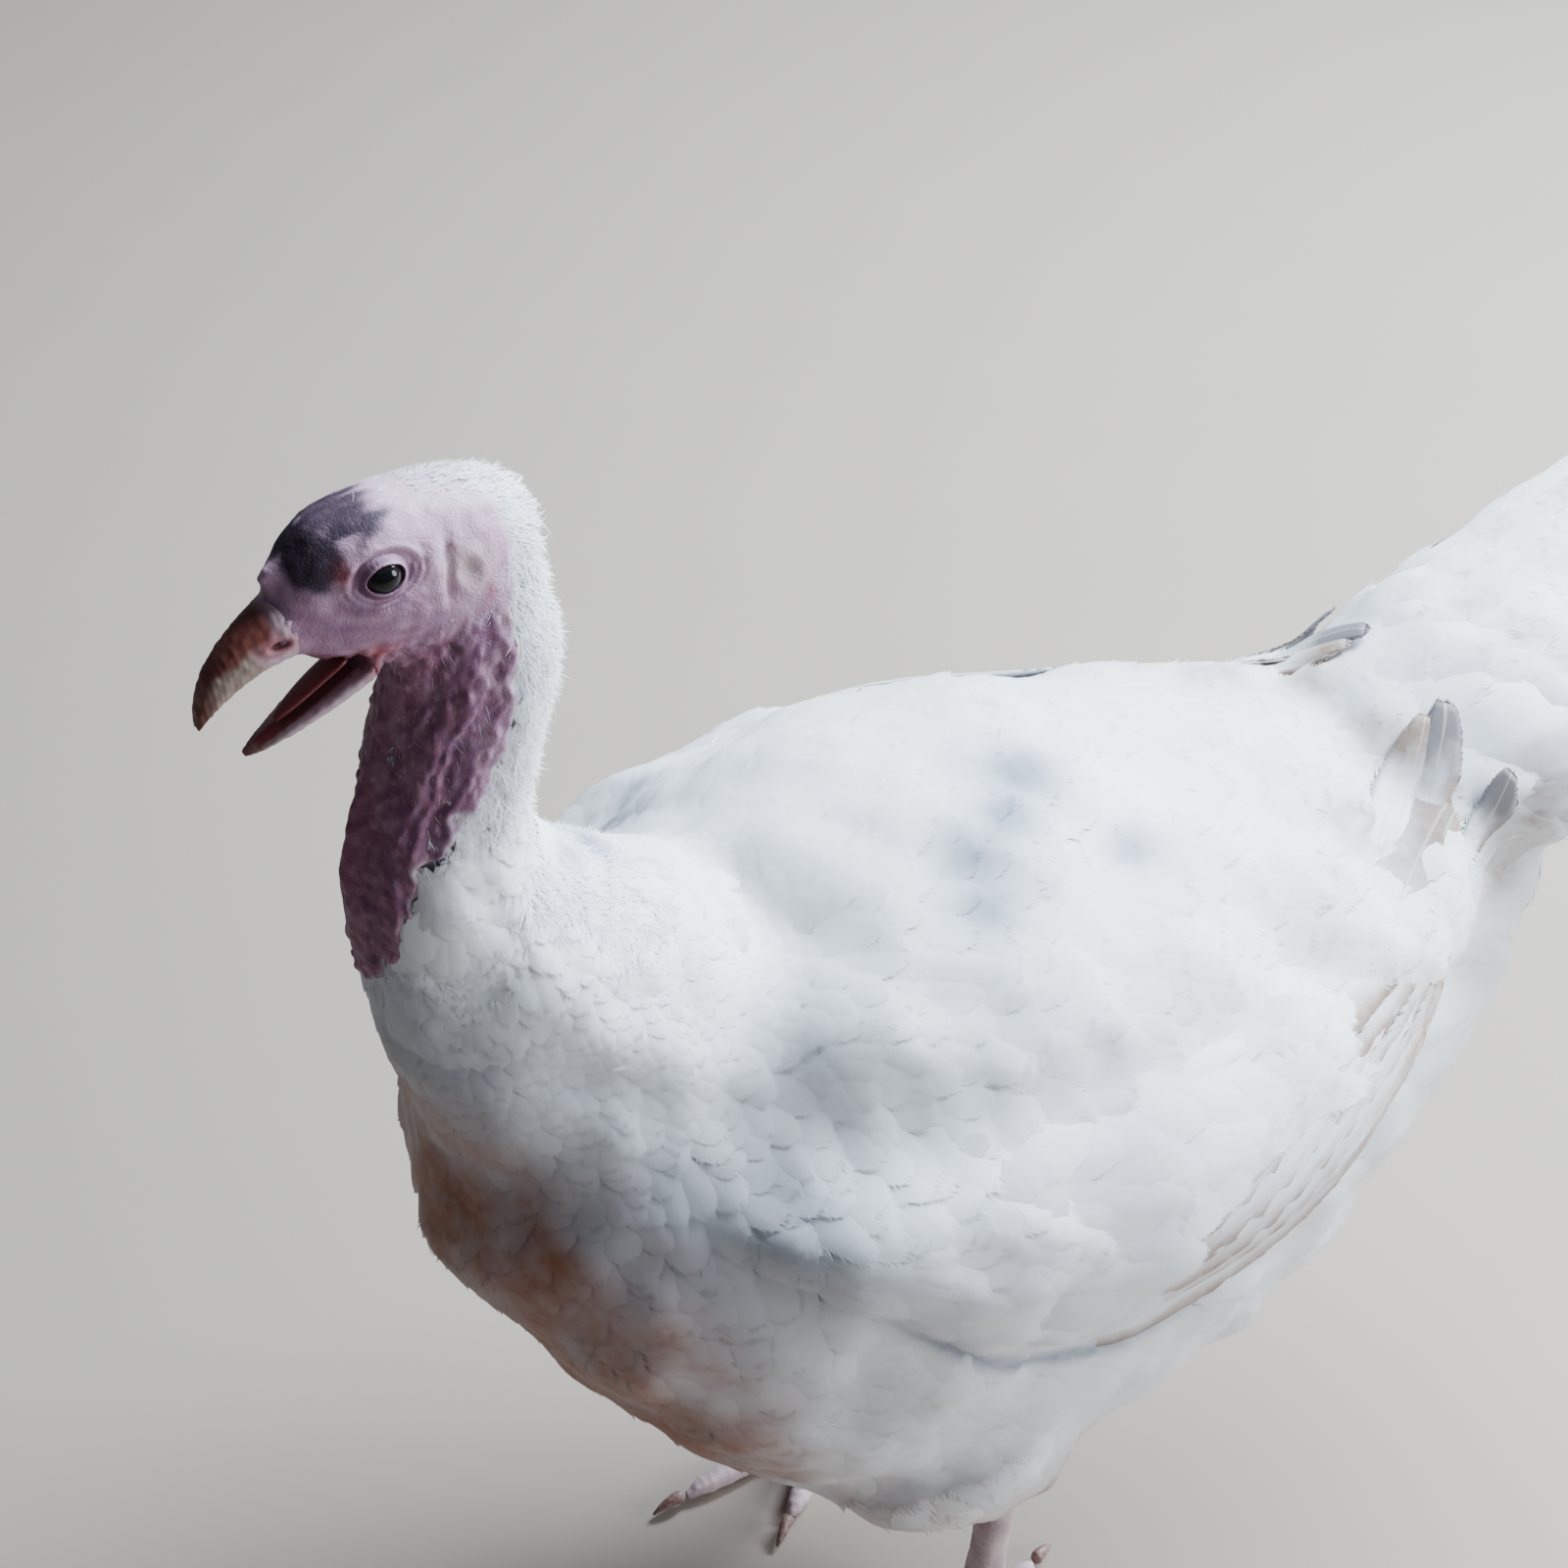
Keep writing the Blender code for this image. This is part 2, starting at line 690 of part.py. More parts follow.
if __name__ == "__main__":
    main()
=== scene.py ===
"""Looks of a still, life-size domestic turkey: one skin, horn, eyes and feathers over its solids."""

import functools
import math
from collections import namedtuple

import bpy
import numpy as np
from bpy.props import FloatProperty, FloatVectorProperty, IntProperty, PointerProperty
from mathutils import Matrix, Vector
from mathutils.bvhtree import BVHTree
from mathutils.kdtree import KDTree


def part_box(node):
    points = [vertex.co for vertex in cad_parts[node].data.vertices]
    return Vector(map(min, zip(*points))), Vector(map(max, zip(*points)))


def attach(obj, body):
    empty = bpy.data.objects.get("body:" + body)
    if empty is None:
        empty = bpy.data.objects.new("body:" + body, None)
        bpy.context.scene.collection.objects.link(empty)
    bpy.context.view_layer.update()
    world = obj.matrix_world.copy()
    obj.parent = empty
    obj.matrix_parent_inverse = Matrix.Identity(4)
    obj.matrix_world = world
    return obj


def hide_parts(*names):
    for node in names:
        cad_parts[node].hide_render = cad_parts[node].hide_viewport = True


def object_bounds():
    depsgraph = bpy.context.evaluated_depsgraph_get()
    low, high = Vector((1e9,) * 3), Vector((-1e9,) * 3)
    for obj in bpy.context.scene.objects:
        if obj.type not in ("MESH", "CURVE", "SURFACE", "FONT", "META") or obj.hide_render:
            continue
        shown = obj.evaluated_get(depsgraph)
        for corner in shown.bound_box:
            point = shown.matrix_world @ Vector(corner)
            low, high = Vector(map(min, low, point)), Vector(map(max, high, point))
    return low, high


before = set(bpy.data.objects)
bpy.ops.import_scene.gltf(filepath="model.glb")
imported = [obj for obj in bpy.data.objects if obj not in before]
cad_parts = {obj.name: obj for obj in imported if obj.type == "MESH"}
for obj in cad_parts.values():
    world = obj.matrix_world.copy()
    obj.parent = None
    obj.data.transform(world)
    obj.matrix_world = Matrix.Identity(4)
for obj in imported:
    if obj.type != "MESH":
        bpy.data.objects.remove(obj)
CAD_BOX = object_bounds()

bl_info = {
    "name": "White Domestic Turkey",
    "version": (1, 0, 0),
    "blender": (4, 5, 0),
    "location": "3D View > Sidebar > Turkey",
    "description": "Dresses a still, life-size domestic turkey in skin, horn, eyes and feathers",
    "category": "Object",
}

BODY = "root"
MERGE = 0.00001
SIDES = {"left": 1.0, "right": -1.0}  # its left is at -Y, and counts as positive across the head
TOES = ("inner", "middle", "outer", "hind")
MM = 0.001
WAVES = 14  # how many waves a random field is summed from

# The head's own axes, in degrees: turned to its left, bill raised, left eye raised. The eye's place in
# them, in millimetres.
HEAD_YAW = 8.6
HEAD_PITCH = 1.8
HEAD_ROLL = 10.0
EYE_FORWARD = 7.7
EYE_UP = 6.0


# ---- sizes and colours

def length_of(name, description, default, lowest=0.0):
    return FloatProperty(
        name=name, description=description, default=default, min=lowest, unit="LENGTH", precision=4
    )


def colour_of(name, description, default):
    return FloatVectorProperty(
        name=name, description=description, default=default, subtype="COLOR", min=0.0, max=1.0
    )


class TurkeySkinSettings(bpy.types.PropertyGroup):
    """Sizes and colours of the bare skin, lids, warts and scaled legs."""

    coat_depth: length_of("Coat Depth", "How deep the skin lies under the body's feathers", 0.009)
    lid_width: length_of("Eye Opening", "Length of the opening between the lids", 0.0100)
    lid_height: length_of("Eye Opening Height", "Height of the opening between the lids", 0.0080)
    lid_thickness: length_of("Lid Thickness", "How far the lids stand over the eyeball", 0.0008)
    warts: IntProperty(name="Warts", description="Small warts on the bare neck", default=520)
    wart_height: length_of("Wart Height", "Height of the largest warts", 0.0012)
    face: colour_of("Face", "Pale lilac skin of the face", (0.52, 0.315, 0.415))
    neck: colour_of("Neck", "Mauve skin of the neck", (0.205, 0.100, 0.180))
    throat: colour_of("Throat", "Maroon of the throat and the dewlap", (0.215, 0.075, 0.125))
    brow: colour_of("Forehead", "Dark patch before and above the eye", (0.030, 0.017, 0.030))
    flush: colour_of("Flush", "Red of the mouth's corner", (0.40, 0.085, 0.090))
    ear: colour_of("Ear", "Straw-coloured patch over the ear", (0.42, 0.325, 0.30))
    leg: colour_of("Leg", "Pinkish grey scales of the shanks", (0.62, 0.47, 0.47))


class TurkeyHornSettings(bpy.types.PropertyGroup):
    """Colours of the bill, mouth, claws and eyes."""

    horn: colour_of("Horn", "Pale horn of the bill", (0.27, 0.195, 0.165))
    ridge: colour_of("Ridge", "Brown ridge and tip of the bill", (0.160, 0.043, 0.034))
    base: colour_of("Bill Base", "Lilac base of the bill", (0.50, 0.33, 0.38))
    mouth: colour_of("Mouth", "Dark lining of the mouth", (0.23, 0.038, 0.044))
    iris: colour_of("Iris", "Dark brown iris", (0.007, 0.005, 0.006))
    cornea_bulge: length_of("Cornea Bulge", "How far the cornea stands off the ball", 0.0006)


class TurkeyCoatSettings(bpy.types.PropertyGroup):
    """Sizes and colours of the feathers."""

    length: length_of("Feather Length", "Length of a feather on the back", 0.048)
    half_width: length_of("Half Width", "Half the width of a feather on the back", 0.0150)
    spacing: length_of("Spacing", "Distance between the quills of the back's feathers", 0.0080, 0.002)
    depth: length_of("Root Depth", "How deep a quill's root lies under the outline", 0.0042)
    softness: FloatProperty(
        name="Softness", description="How far the coat shades as one mass", default=0.60, min=0.0, max=1.0
    )
    white: colour_of("White", "Clean feather", (0.86, 0.86, 0.87))
    # Painted shade: the colour laid where the deep mask paints shade between the feathers, in the crease
    # under each wing, over the breast's front, before each wing and low on the belly and thighs.
    shade: colour_of("Shade", "Cool tone deep between the feathers", (0.22, 0.25, 0.32))
    # Partly painted light: besides real earth, this colour over the breast's front stands for painted shade
    # and painted reddish bounce light from the ground.
    dirt: colour_of("Dirt", "Reddish earth rubbed into the breast and belly", (0.36, 0.155, 0.095))
    stain: colour_of("Stain", "Tan worn edges of the wing's feathers", (0.34, 0.22, 0.155))
    slate: colour_of("Slate", "Grey tips of a few quills", (0.16, 0.145, 0.155))


class TurkeyStageSettings(bpy.types.PropertyGroup):
    """Camera, lights and floor."""

    azimuth: FloatProperty(name="Azimuth", description="Where the camera stands", default=-28.0)
    elevation: FloatProperty(name="Elevation", description="How far it looks down", default=42.0)
    distance: length_of("Distance", "From the camera to the point it looks at", 1.05)
    lens: FloatProperty(name="Lens", description="Focal length in millimetres", default=67.177)
    floor: colour_of("Floor", "Pale floor", (0.35, 0.285, 0.235))
    key: FloatProperty(name="Key Light", description="Power of the large soft light", default=235.0)
    fill: FloatProperty(name="Fill Light", description="Power of the fill", default=36.0)


# ---- small tools

def deselect():
    if bpy.context.mode != "OBJECT":
        bpy.ops.object.mode_set(mode="OBJECT")
    bpy.ops.object.select_all(action="DESELECT")


def make_active(piece):
    deselect()
    piece.select_set(True)
    bpy.context.view_layer.objects.active = piece


def edit(piece, *steps):
    """Runs each step in edit mode on the whole piece."""
    make_active(piece)
    bpy.ops.object.mode_set(mode="EDIT")
    for step in steps:
        bpy.ops.mesh.select_all(action="SELECT")
        step()
    bpy.ops.object.mode_set(mode="OBJECT")
    return piece


def modified(piece, kind, **settings):
    """Adds a modifier with these settings and applies it."""
    make_active(piece)
    modifier = piece.modifiers.new(kind.lower(), kind)
    for key, value in settings.items():
        setattr(modifier, key, value)
    bpy.ops.object.modifier_apply(modifier=modifier.name)
    return piece


def placed(name, data):
    """A new object in the scene."""
    made = bpy.data.objects.new(name, data)
    bpy.context.scene.collection.objects.link(made)
    return made


def joined_copy(name, nodes):
    """One new object holding the named solids' shapes, with their doubled corners merged."""
    deselect()
    for node in nodes:
        copy = placed(name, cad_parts[node].data.copy())
        copy.select_set(True)
        bpy.context.view_layer.objects.active = copy
    if len(nodes) > 1:
        bpy.ops.object.join()
    made = bpy.context.view_layer.objects.active
    made.name = name
    made.data.materials.clear()
    return edit(made, lambda: bpy.ops.mesh.remove_doubles(threshold=MERGE))


def triples(parts, key):
    """That value of each part of a mesh, three numbers each."""
    found = np.empty(len(parts) * 3, np.float32)
    parts.foreach_get(key, found)
    return found.reshape(-1, 3).astype(float)


def points_of(piece):
    return triples(piece.data.vertices, "co")


def shape_of(piece):
    """The points of a piece, and which way it faces at each."""
    return points_of(piece), triples(piece.data.vertex_normals, "vector")


def set_points(piece, points):
    piece.data.vertices.foreach_set("co", points.astype(np.float32).ravel())
    piece.data.update()


def set_masks(piece, **masks):
    """Stores one number per vertex under each name for the material to read."""
    for name, values in masks.items():
        mask = piece.data.attributes.new(name, "FLOAT", "POINT")
        mask.data.foreach_set("value", np.asarray(values, np.float32))


def seeded(seed):
    return np.random.default_rng(seed)


def unit(vectors):
    vectors = np.asarray(vectors, float)
    return vectors / np.maximum(np.linalg.norm(vectors, axis=-1, keepdims=True), 1e-12)


def folded(points):
    """The points with the bird's right side laid over onto +Y, as its left."""
    return np.stack((points[:, 0], abs(points[:, 1]), points[:, 2]), 1)


def ramp(low, high, values):
    """0 before low, 1 past high, smooth between; low may be the larger."""
    share = np.clip((values - low) / (high - low), 0.0, 1.0)
    return share * share * (3 - 2 * share)


def most(*values):
    """The largest of these at each point."""
    return functools.reduce(np.maximum, values)


def hump(values, centre, width):
    return np.exp(-(((values - centre) / width) ** 2))


def swell_waves(size, seed):
    chance = seeded(seed)
    directions = unit(chance.normal(size=(WAVES, 3)))
    directions *= chance.uniform(0.6, 1.5, (WAVES, 1)) * math.tau / size
    return directions, chance.uniform(0, math.tau, WAVES)


def swell(points, size, seed):
    """A smooth random field of about -1 to 1, with swells that many metres across."""
    directions, phases = swell_waves(size, seed)
    return np.sin(points @ directions.T + phases).sum(1) / math.sqrt(WAVES)


def swell_slope(points, size, seed):
    """Which way that field rises, and how steeply."""
    directions, phases = swell_waves(size, seed)
    return np.cos(points @ directions.T + phases) @ directions / math.sqrt(WAVES)


def search_tree(points):
    """Finds which of these points lie near a place."""
    tree = KDTree(len(points))
    for index, point in enumerate(points.tolist()):
        tree.insert(point, index)
    tree.balance()
    return tree


def smooth_shade(piece):
    make_active(piece)
    bpy.ops.object.shade_smooth()


def finish_piece(piece, material, slot, *nodes):
    """Gives a finished piece its material and its body, and hides the solids it stands for; slot is not used.
    """
    piece.data.materials.clear()
    piece.data.materials.append(material)
    piece.data.name = piece.name
    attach(piece, BODY)
    if nodes:
        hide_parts(*nodes)
    return piece


# ---- the head's and neck's own places

@functools.cache
def eye_centres():
    return {side: np.array(sum(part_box(f"eye_{side}"), Vector()) / 2) for side in SIDES}


@functools.cache
def eye_radius():
    low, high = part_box("eye_left")
    return (high - low).z / 2


@functools.cache
def head_axes():
    """Centre of the head, and rows forward, left and up."""
    turn = Matrix.Rotation(math.radians(HEAD_YAW), 3, "Z")
    pitch, roll = math.radians(HEAD_PITCH), math.radians(HEAD_ROLL)
    forward = turn @ Vector((-math.cos(pitch), 0.0, math.sin(pitch)))
    level = turn @ Vector((0.0, -1.0, 0.0))
    left = level * math.cos(roll) + forward.cross(level) * math.sin(roll)
    axes = np.array((forward, left, forward.cross(left)))
    middle = sum(eye_centres().values()) / 2
    return middle - axes[0] * EYE_FORWARD * MM - axes[2] * EYE_UP * MM, axes


def in_head(points):
    """Forward, left and up of the head's centre, in millimetres."""
    centre, axes = head_axes()
    return (points - centre) @ axes.T / MM


def from_head(spots):
    centre, axes = head_axes()
    return centre + np.asarray(spots, float) * MM @ axes


def eye_middle(side):
    """The centre of an eye, forward, left and up of the head's, in millimetres."""
    return in_head(eye_centres()[side][None])[0]


def eye_axes(side):
    """Rows forward and up across the eye's opening, and out along its gaze, in the head's own axes."""
    gaze = unit((0.16, SIDES[side], 0.06))
    ahead = unit(np.array((1.0, 0.0, 0.0)) - gaze * gaze[0])
    above = np.cross(ahead, gaze) * SIDES[side]
    tilt = math.radians(9.0)  # the front corner lies lower
    along = ahead * math.cos(tilt) - above * math.sin(tilt)
    upward = above * math.cos(tilt) + ahead * math.sin(tilt)
    return np.array((along, upward, gaze))


def eye_view(spots, side):
    """Spots of the head from an eye's centre, along its own axes, in millimetres."""
    return (spots - eye_middle(side)) @ eye_axes(side).T


@functools.cache
def neck_line():
    """Heights up the neck, with its middle's X and Y at each."""
    solids = joined_copy("neck_guide", ("neck_lower", "neck_upper"))
    points = points_of(solids)
    bpy.data.objects.remove(solids)
    heights = np.linspace(0.400, 0.556, 14)
    middles = []
    for height in heights:
        near = points[abs(points[:, 2] - height) < 0.012]
        middles.append((near[:, :2].min(0) + near[:, :2].max(0)) / 2)
    return heights, np.array(middles)


def neck_turn(points):
    """Angle round the neck from its nape, in radians."""
    heights, middles = neck_line()
    x, y = (np.interp(points[:, 2], heights, middle) for middle in middles.T)
    return np.arctan2(points[:, 1] - y, points[:, 0] - x)


def round_neck(points):
    """Degrees round the neck from its nape, 0 behind and 180 in front, the same on both sides."""
    return np.degrees(np.abs(neck_turn(points)))


def bareness(points):
    """1 on the bare skin of face and neck, 0 under feathers."""
    forward, _, up = in_head(points).T
    around = round_neck(points)
    edge = np.interp(
        around, (0, 65, 80, 94, 102, 114, 128, 144, 161, 180),
        (0.640, 0.540, 0.512, 0.498, 0.495, 0.487, 0.480, 0.462, 0.441, 0.430),
    )
    edge = edge + 0.004 * swell(points, 0.016, 4) + 0.003 * swell(points, 0.007, 9)
    neck = ramp(-0.007, 0.007, points[:, 2] - edge) * ramp(62.0, 84.0, around + 6 * swell(points, 0.010, 10))
    head = ramp(-36.0, -27.0, forward) * ramp(28.0, 20.0, up + 0.25 * np.maximum(-forward, 0))
    on_head = ramp(-26.0, -18.0, up + 0.3 * forward)
    bare = neck * (1 - on_head) + head * on_head
    return bare * ramp(-0.160, -0.175, points[:, 0])


# ---- smooth forms that the coat lies on

MOST_TRIED = 160000  # random places that one spread may try


class Form:
    """A closed surface of four-sided faces: where it is, its facing, and where a point lands on it."""

    def __init__(self, piece):
        self.points, self.normals = shape_of(piece)
        faces = np.array([tuple(face.vertices) for face in piece.data.polygons])
        self.tree = BVHTree.FromPolygons(self.points.tolist(), faces.tolist())
        self.halves = np.concatenate((faces[:, :3], faces[:, (0, 2, 3)]))
        self.corner, second, third = (self.points[self.halves[:, k]] for k in range(3))
        self.edges = second - self.corner, third - self.corner
        self.areas = np.linalg.norm(np.cross(*self.edges), axis=1)

    def land(self, points):
        """The nearest places on the form to these points, and its facing there."""
        find = self.tree.find_nearest
        hits = [find(point)[:2] for point in points.tolist()]
        found = np.array([(*place, *facing) for place, facing in hits])
        return found[:, :3], found[:, 3:]

    def scatter(self, amount, seed):
        """That many seeded random places on the surface, and the facing there."""
        chance = seeded(seed)
        picked = chance.choice(len(self.halves), amount, p=self.areas / self.areas.sum())
        r, t = chance.random((2, amount, 1))
        flip = (r + t) > 1
        r, t = np.where(flip, 1 - r, r), np.where(flip, 1 - t, t)
        places = self.corner[picked] + self.edges[0][picked] * r + self.edges[1][picked] * t
        return places, unit(self.normals[self.halves[picked]].mean(1))

    def spread(self, spacing, seed, keep):
        """Seeded places at least spacing(point) metres apart, where keep(point, facing) is true."""
        area = self.areas[:len(self.areas) // 2].sum()
        least = 0.45 * area / float(np.min(spacing(self.points))) ** 2
        places, facing = self.scatter(int(min(7 * least, MOST_TRIED)), seed)
        kept = keep(places, facing)
        places, facing = places[kept], facing[kept]
        reach = spacing(places)
        tree = search_tree(places)
        free = np.ones(len(places), bool)
        chosen = []
        for index, place in enumerate(places.tolist()):
            if free[index]:
                chosen.append(index)
                for _, near, _ in tree.find_range(place, reach[index]):
                    free[near] = False
        return places[chosen], facing[chosen]


def even(distance):
    """The same spacing everywhere."""
    return lambda points: np.full(len(points), distance)


def regrown(piece, voxel, smoothing):
    """The piece with all that it holds grown together into one smooth closed mesh."""
    modified(piece, "REMESH", mode="VOXEL", voxel_size=voxel)
    return modified(piece, "SMOOTH", factor=0.5, iterations=smoothing)


def fused(name, nodes, voxel, smoothing):
    """The named solids as one smooth closed mesh."""
    return regrown(joined_copy(name, nodes), voxel, smoothing)


NECK_NODES = ("neck_lower", "neck_upper")
HEAD_NODES = ("head", *NECK_NODES, "dewlap", "snood")
THIGHS = ("thigh_left", "thigh_right")
BODY_NODES = ("trunk", *NECK_NODES, "head", *THIGHS)
WING_NODES = {side: (f"wing_{side}_coverts", f"wing_{side}_flight") for side in SIDES}
WINGS = (*WING_NODES["left"], *WING_NODES["right"])
BODY_VOXEL = 0.0045
WING_VOXEL = 0.003
LEG_NODES = {side: (f"shank_{side}", *(f"toe_{side}_{toe}" for toe in TOES)) for side in SIDES}
WING_FRONTS = ((-0.202, 0.084, 0.352, 0.040), (-0.184, 0.098, 0.322, 0.034))  # X, distance aside, Z, radius


def ease_fronts(piece):
    """Rounds the fronts of the folded wings off into the breast."""
    group = piece.vertex_groups.new(name="fronts")
    for index, weight in enumerate(near_spots(folded(points_of(piece)), WING_FRONTS)):
        if weight > 0.02:
            group.add([index], weight, "REPLACE")
    return modified(piece, "SMOOTH", factor=0.8, iterations=90, vertex_group="fronts")


@functools.cache
def form_of(kind):
    """The smooth form named: body, bird (with its wings and tail), one wing, or the tail."""
    nodes, voxel, smoothing = {
        "body": (BODY_NODES, BODY_VOXEL, 7),
        "bird": ((*BODY_NODES, *WINGS, "tail"), BODY_VOXEL, 7),
        "left": (WING_NODES["left"], WING_VOXEL, 5),
        "right": (WING_NODES["right"], WING_VOXEL, 5),
        "tail": (("tail",), WING_VOXEL, 5),
    }[kind]
    piece = fused(f"form_{kind}", nodes, voxel, smoothing)
    if kind == "bird":
        ease_fronts(piece)
    made = Form(piece)
    bpy.data.objects.remove(piece)
    return made


# ---- material tools

def add(tree, kind, inputs=None, **settings):
    """A shader node with its settings and its inputs, each a value or another node's output."""
    node = tree.nodes.new("ShaderNode" + kind)
    for key, value in settings.items():
        setattr(node, key, value)
    for key, value in (inputs or {}).items():
        feed(tree, node.inputs[key], value)
    return node


def feed(tree, target, value):
    """Gives an input a value, a colour or another node's output."""
    if isinstance(value, bpy.types.NodeSocket):
        tree.links.new(value, target)
    elif target.type == "RGBA":
        target.default_value = (*value, 1.0)
    else:
        target.default_value = value


def blend(tree, share, first, second):
    node = add(tree, "Mix", {0: share, 6: first, 7: second}, data_type="RGBA", clamp_factor=True)
    return node.outputs[2]


def layered(tree, colour, **paints):
    """Lays each paint over the colour, where the mask of its name says."""
    for name, paint in paints.items():
        colour = blend(tree, mask_of(tree, name), colour, paint)
    return colour


def maths(tree, operation, first, second=0.0, clamp=False):
    return add(tree, "Math", {0: first, 1: second}, operation=operation, use_clamp=clamp).outputs[0]


def times(tree, first, second, clamp=False):
    return maths(tree, "MULTIPLY", first, second, clamp)


def plus(tree, first, second, clamp=False):
    return maths(tree, "ADD", first, second, clamp)


def mask_of(tree, name):
    return add(tree, "Attribute", attribute_name=name).outputs["Fac"]


def noise(tree, vector, scale, detail, roughness=0.55):
    inputs = {"Vector": vector, "Scale": scale, "Detail": detail, "Roughness": roughness}
    return add(tree, "TexNoise", inputs).outputs["Fac"]


def stretch(tree, value, low, high, start=0.0, end=1.0):
    inputs = {"Value": value, 1: low, 2: high, 3: start, 4: end}
    return add(tree, "MapRange", inputs, clamp=True).outputs[0]


def object_place(tree):
    return add(tree, "TexCoord").outputs["Object"]


def new_material(name, roughness, **constants):
    """A material with its shader's own constants set, ready for nodes."""
    material = bpy.data.materials.new(name)
    material.use_nodes = True
    shader = material.node_tree.nodes["Principled BSDF"]
    shader.inputs["Roughness"].default_value = roughness
    for key, value in constants.items():
        shader.inputs[key.replace("_", " ")].default_value = value
    return material, material.node_tree, shader


def wire(tree, shader, colour, roughness=None, height=None, distance=0.0, strength=1.0):
    """Gives a shader its colour, and where they vary its roughness and the height that bumps it."""
    tree.links.new(colour, shader.inputs["Base Color"])
    if roughness:
        tree.links.new(roughness, shader.inputs["Roughness"])
    if height:
        bump = add(tree, "Bump", {"Height": height, "Distance": distance, "Strength": strength})
        tree.links.new(bump.outputs["Normal"], shader.inputs["Normal"])


def new_group(name, colours, numbers, result):
    """An empty group that takes these and a place, and gives a colour and one number more."""
    tree = bpy.data.node_groups.new(name, "ShaderNodeTree")
    rows = (("INPUT", "Color", colours), ("INPUT", "Float", numbers), ("INPUT", "Vector", ("Vector",)),
            ("OUTPUT", "Color", ("Color",)), ("OUTPUT", "Float", (result,)))
    for way, kind, labels in rows:
        for label in labels:
            tree.interface.new_socket(name=label, in_out=way, socket_type="NodeSocket" + kind)
    return tree, tree.nodes.new("NodeGroupInput").outputs, tree.nodes.new("NodeGroupOutput").inputs


@functools.cache
def plumage_group():
    """White feather with tone from feather to feather, painted shade, earth with painted shade and bounce
    light, tan wear and slate laid over it.
    """
    tree, given, out = new_group(
        "turkey plumage", ("White", "Shade", "Dirt Colour", "Stain Colour", "Slate Colour"),
        ("Tone", "Dirt", "Stain", "Slate", "Deep"), "Roughness",
    )
    fine = noise(tree, given["Vector"], 130.0, 4.0, 0.6)
    broad = noise(tree, given["Vector"], 26.0, 3.0, 0.5)
    patchy = stretch(tree, broad, 0.35, 0.65)
    # Painted shade: the deep mask, with the feathers' random tone, blends the white toward the shade colour.
    deep = times(tree, given["Deep"], 0.95)
    tone = times(tree, given["Tone"], 0.07)
    colour = blend(tree, plus(tree, deep, tone, True), given["White"], given["Shade"])
    # The dirt mask carries real earth and, over the breast's front, painted shade and painted bounce light.
    dirt = times(tree, given["Dirt"], stretch(tree, patchy, 0.0, 1.0, 0.72, 1.15))
    dirt = times(tree, dirt, stretch(tree, fine, 0.3, 0.7, 0.8, 1.1), True)
    colour = blend(tree, dirt, colour, given["Dirt Colour"])
    stain = times(tree, given["Stain"], stretch(tree, fine, 0.3, 0.7, 0.7, 1.15), True)
    colour = blend(tree, stain, colour, given["Stain Colour"])
    colour = blend(tree, given["Slate"], colour, given["Slate Colour"])
    tree.links.new(colour, out["Color"])
    tree.links.new(stretch(tree, fine, 0.2, 0.8, 0.62, 0.82), out["Roughness"])
    return tree


@functools.cache
def mottle_group():
    """Uneven skin: a colour broken up by blotches of a second one, with pores and fine wrinkles."""
    tree, given, out = new_group("turkey mottle", ("First", "Second"), ("Amount", "Scale"), "Height")
    blotch = noise(tree, given["Vector"], given["Scale"], 5.0, 0.6)
    share = times(tree, stretch(tree, blotch, 0.42, 0.66), given["Amount"])
    colour = blend(tree, share, given["First"], given["Second"])
    inputs = {"Vector": given["Vector"], "Scale": times(tree, given["Scale"], 2.6), "Randomness": 1.0}
    cells = add(tree, "TexVoronoi", inputs, feature="DISTANCE_TO_EDGE").outputs["Distance"]
    creases = stretch(tree, cells, 0.0, 0.16)
    tree.links.new(colour, out["Color"])
    tree.links.new(plus(tree, times(tree, creases, 0.6), times(tree, blotch, 0.5)), out["Height"])
    return tree


def use_group(tree, group, **inputs):
    node = tree.nodes.new("ShaderNodeGroup")
    node.node_tree = group
    for key, value in inputs.items():
        feed(tree, node.inputs[key.replace("_", " ")], value)
    return node.outputs


def mottled(tree, place, first, second, amount, scale):
    """Skin of one colour broken up by a second."""
    colours = {"First": first, "Second": second}
    return use_group(tree, mottle_group(), Amount=amount, Scale=scale, Vector=place, **colours)


def plumage(tree, coat, place, **masks):
    """The plumage group with this bird's colours."""
    return use_group(
        tree, plumage_group(), White=coat.white, Shade=coat.shade, Dirt_Colour=coat.dirt,
        Stain_Colour=coat.stain, Slate_Colour=coat.slate, Vector=place, **masks
    )


# ---- markings shared by skin and coat

def earth_and_bounce_light(points):
    """Earth rubbed into the low front of the breast and along the keel; over the breast's front it also
    stands for painted shade and painted reddish bounce light from the ground.
    """
    x, y, z = points.T
    height = z + x + 0.45 * abs(y) + 0.010 * swell(points, 0.055, 11)
    front = ramp(0.168, 0.060, height) * ramp(0.435, 0.365, z) * (0.30 + 0.70 * ramp(-0.190, -0.222, x))
    keel = 0.80 * ramp(0.220, 0.150, z + 0.008 * swell(points, 0.04, 13)) * ramp(0.12, 0.0, x)
    return np.clip(np.maximum(front, keel) * (1 + 0.20 * swell(points, 0.028, 14)), 0, 1)


def near_spots(points, spots):
    """1 at the middle of any of these spots, each X, Y, Z and radius, fading to 0."""
    found = np.zeros(len(points))
    for x, y, z, radius in spots:
        found = np.maximum(found, hump(np.linalg.norm(points - (x, y, z), axis=1), 0.0, radius))
    return found


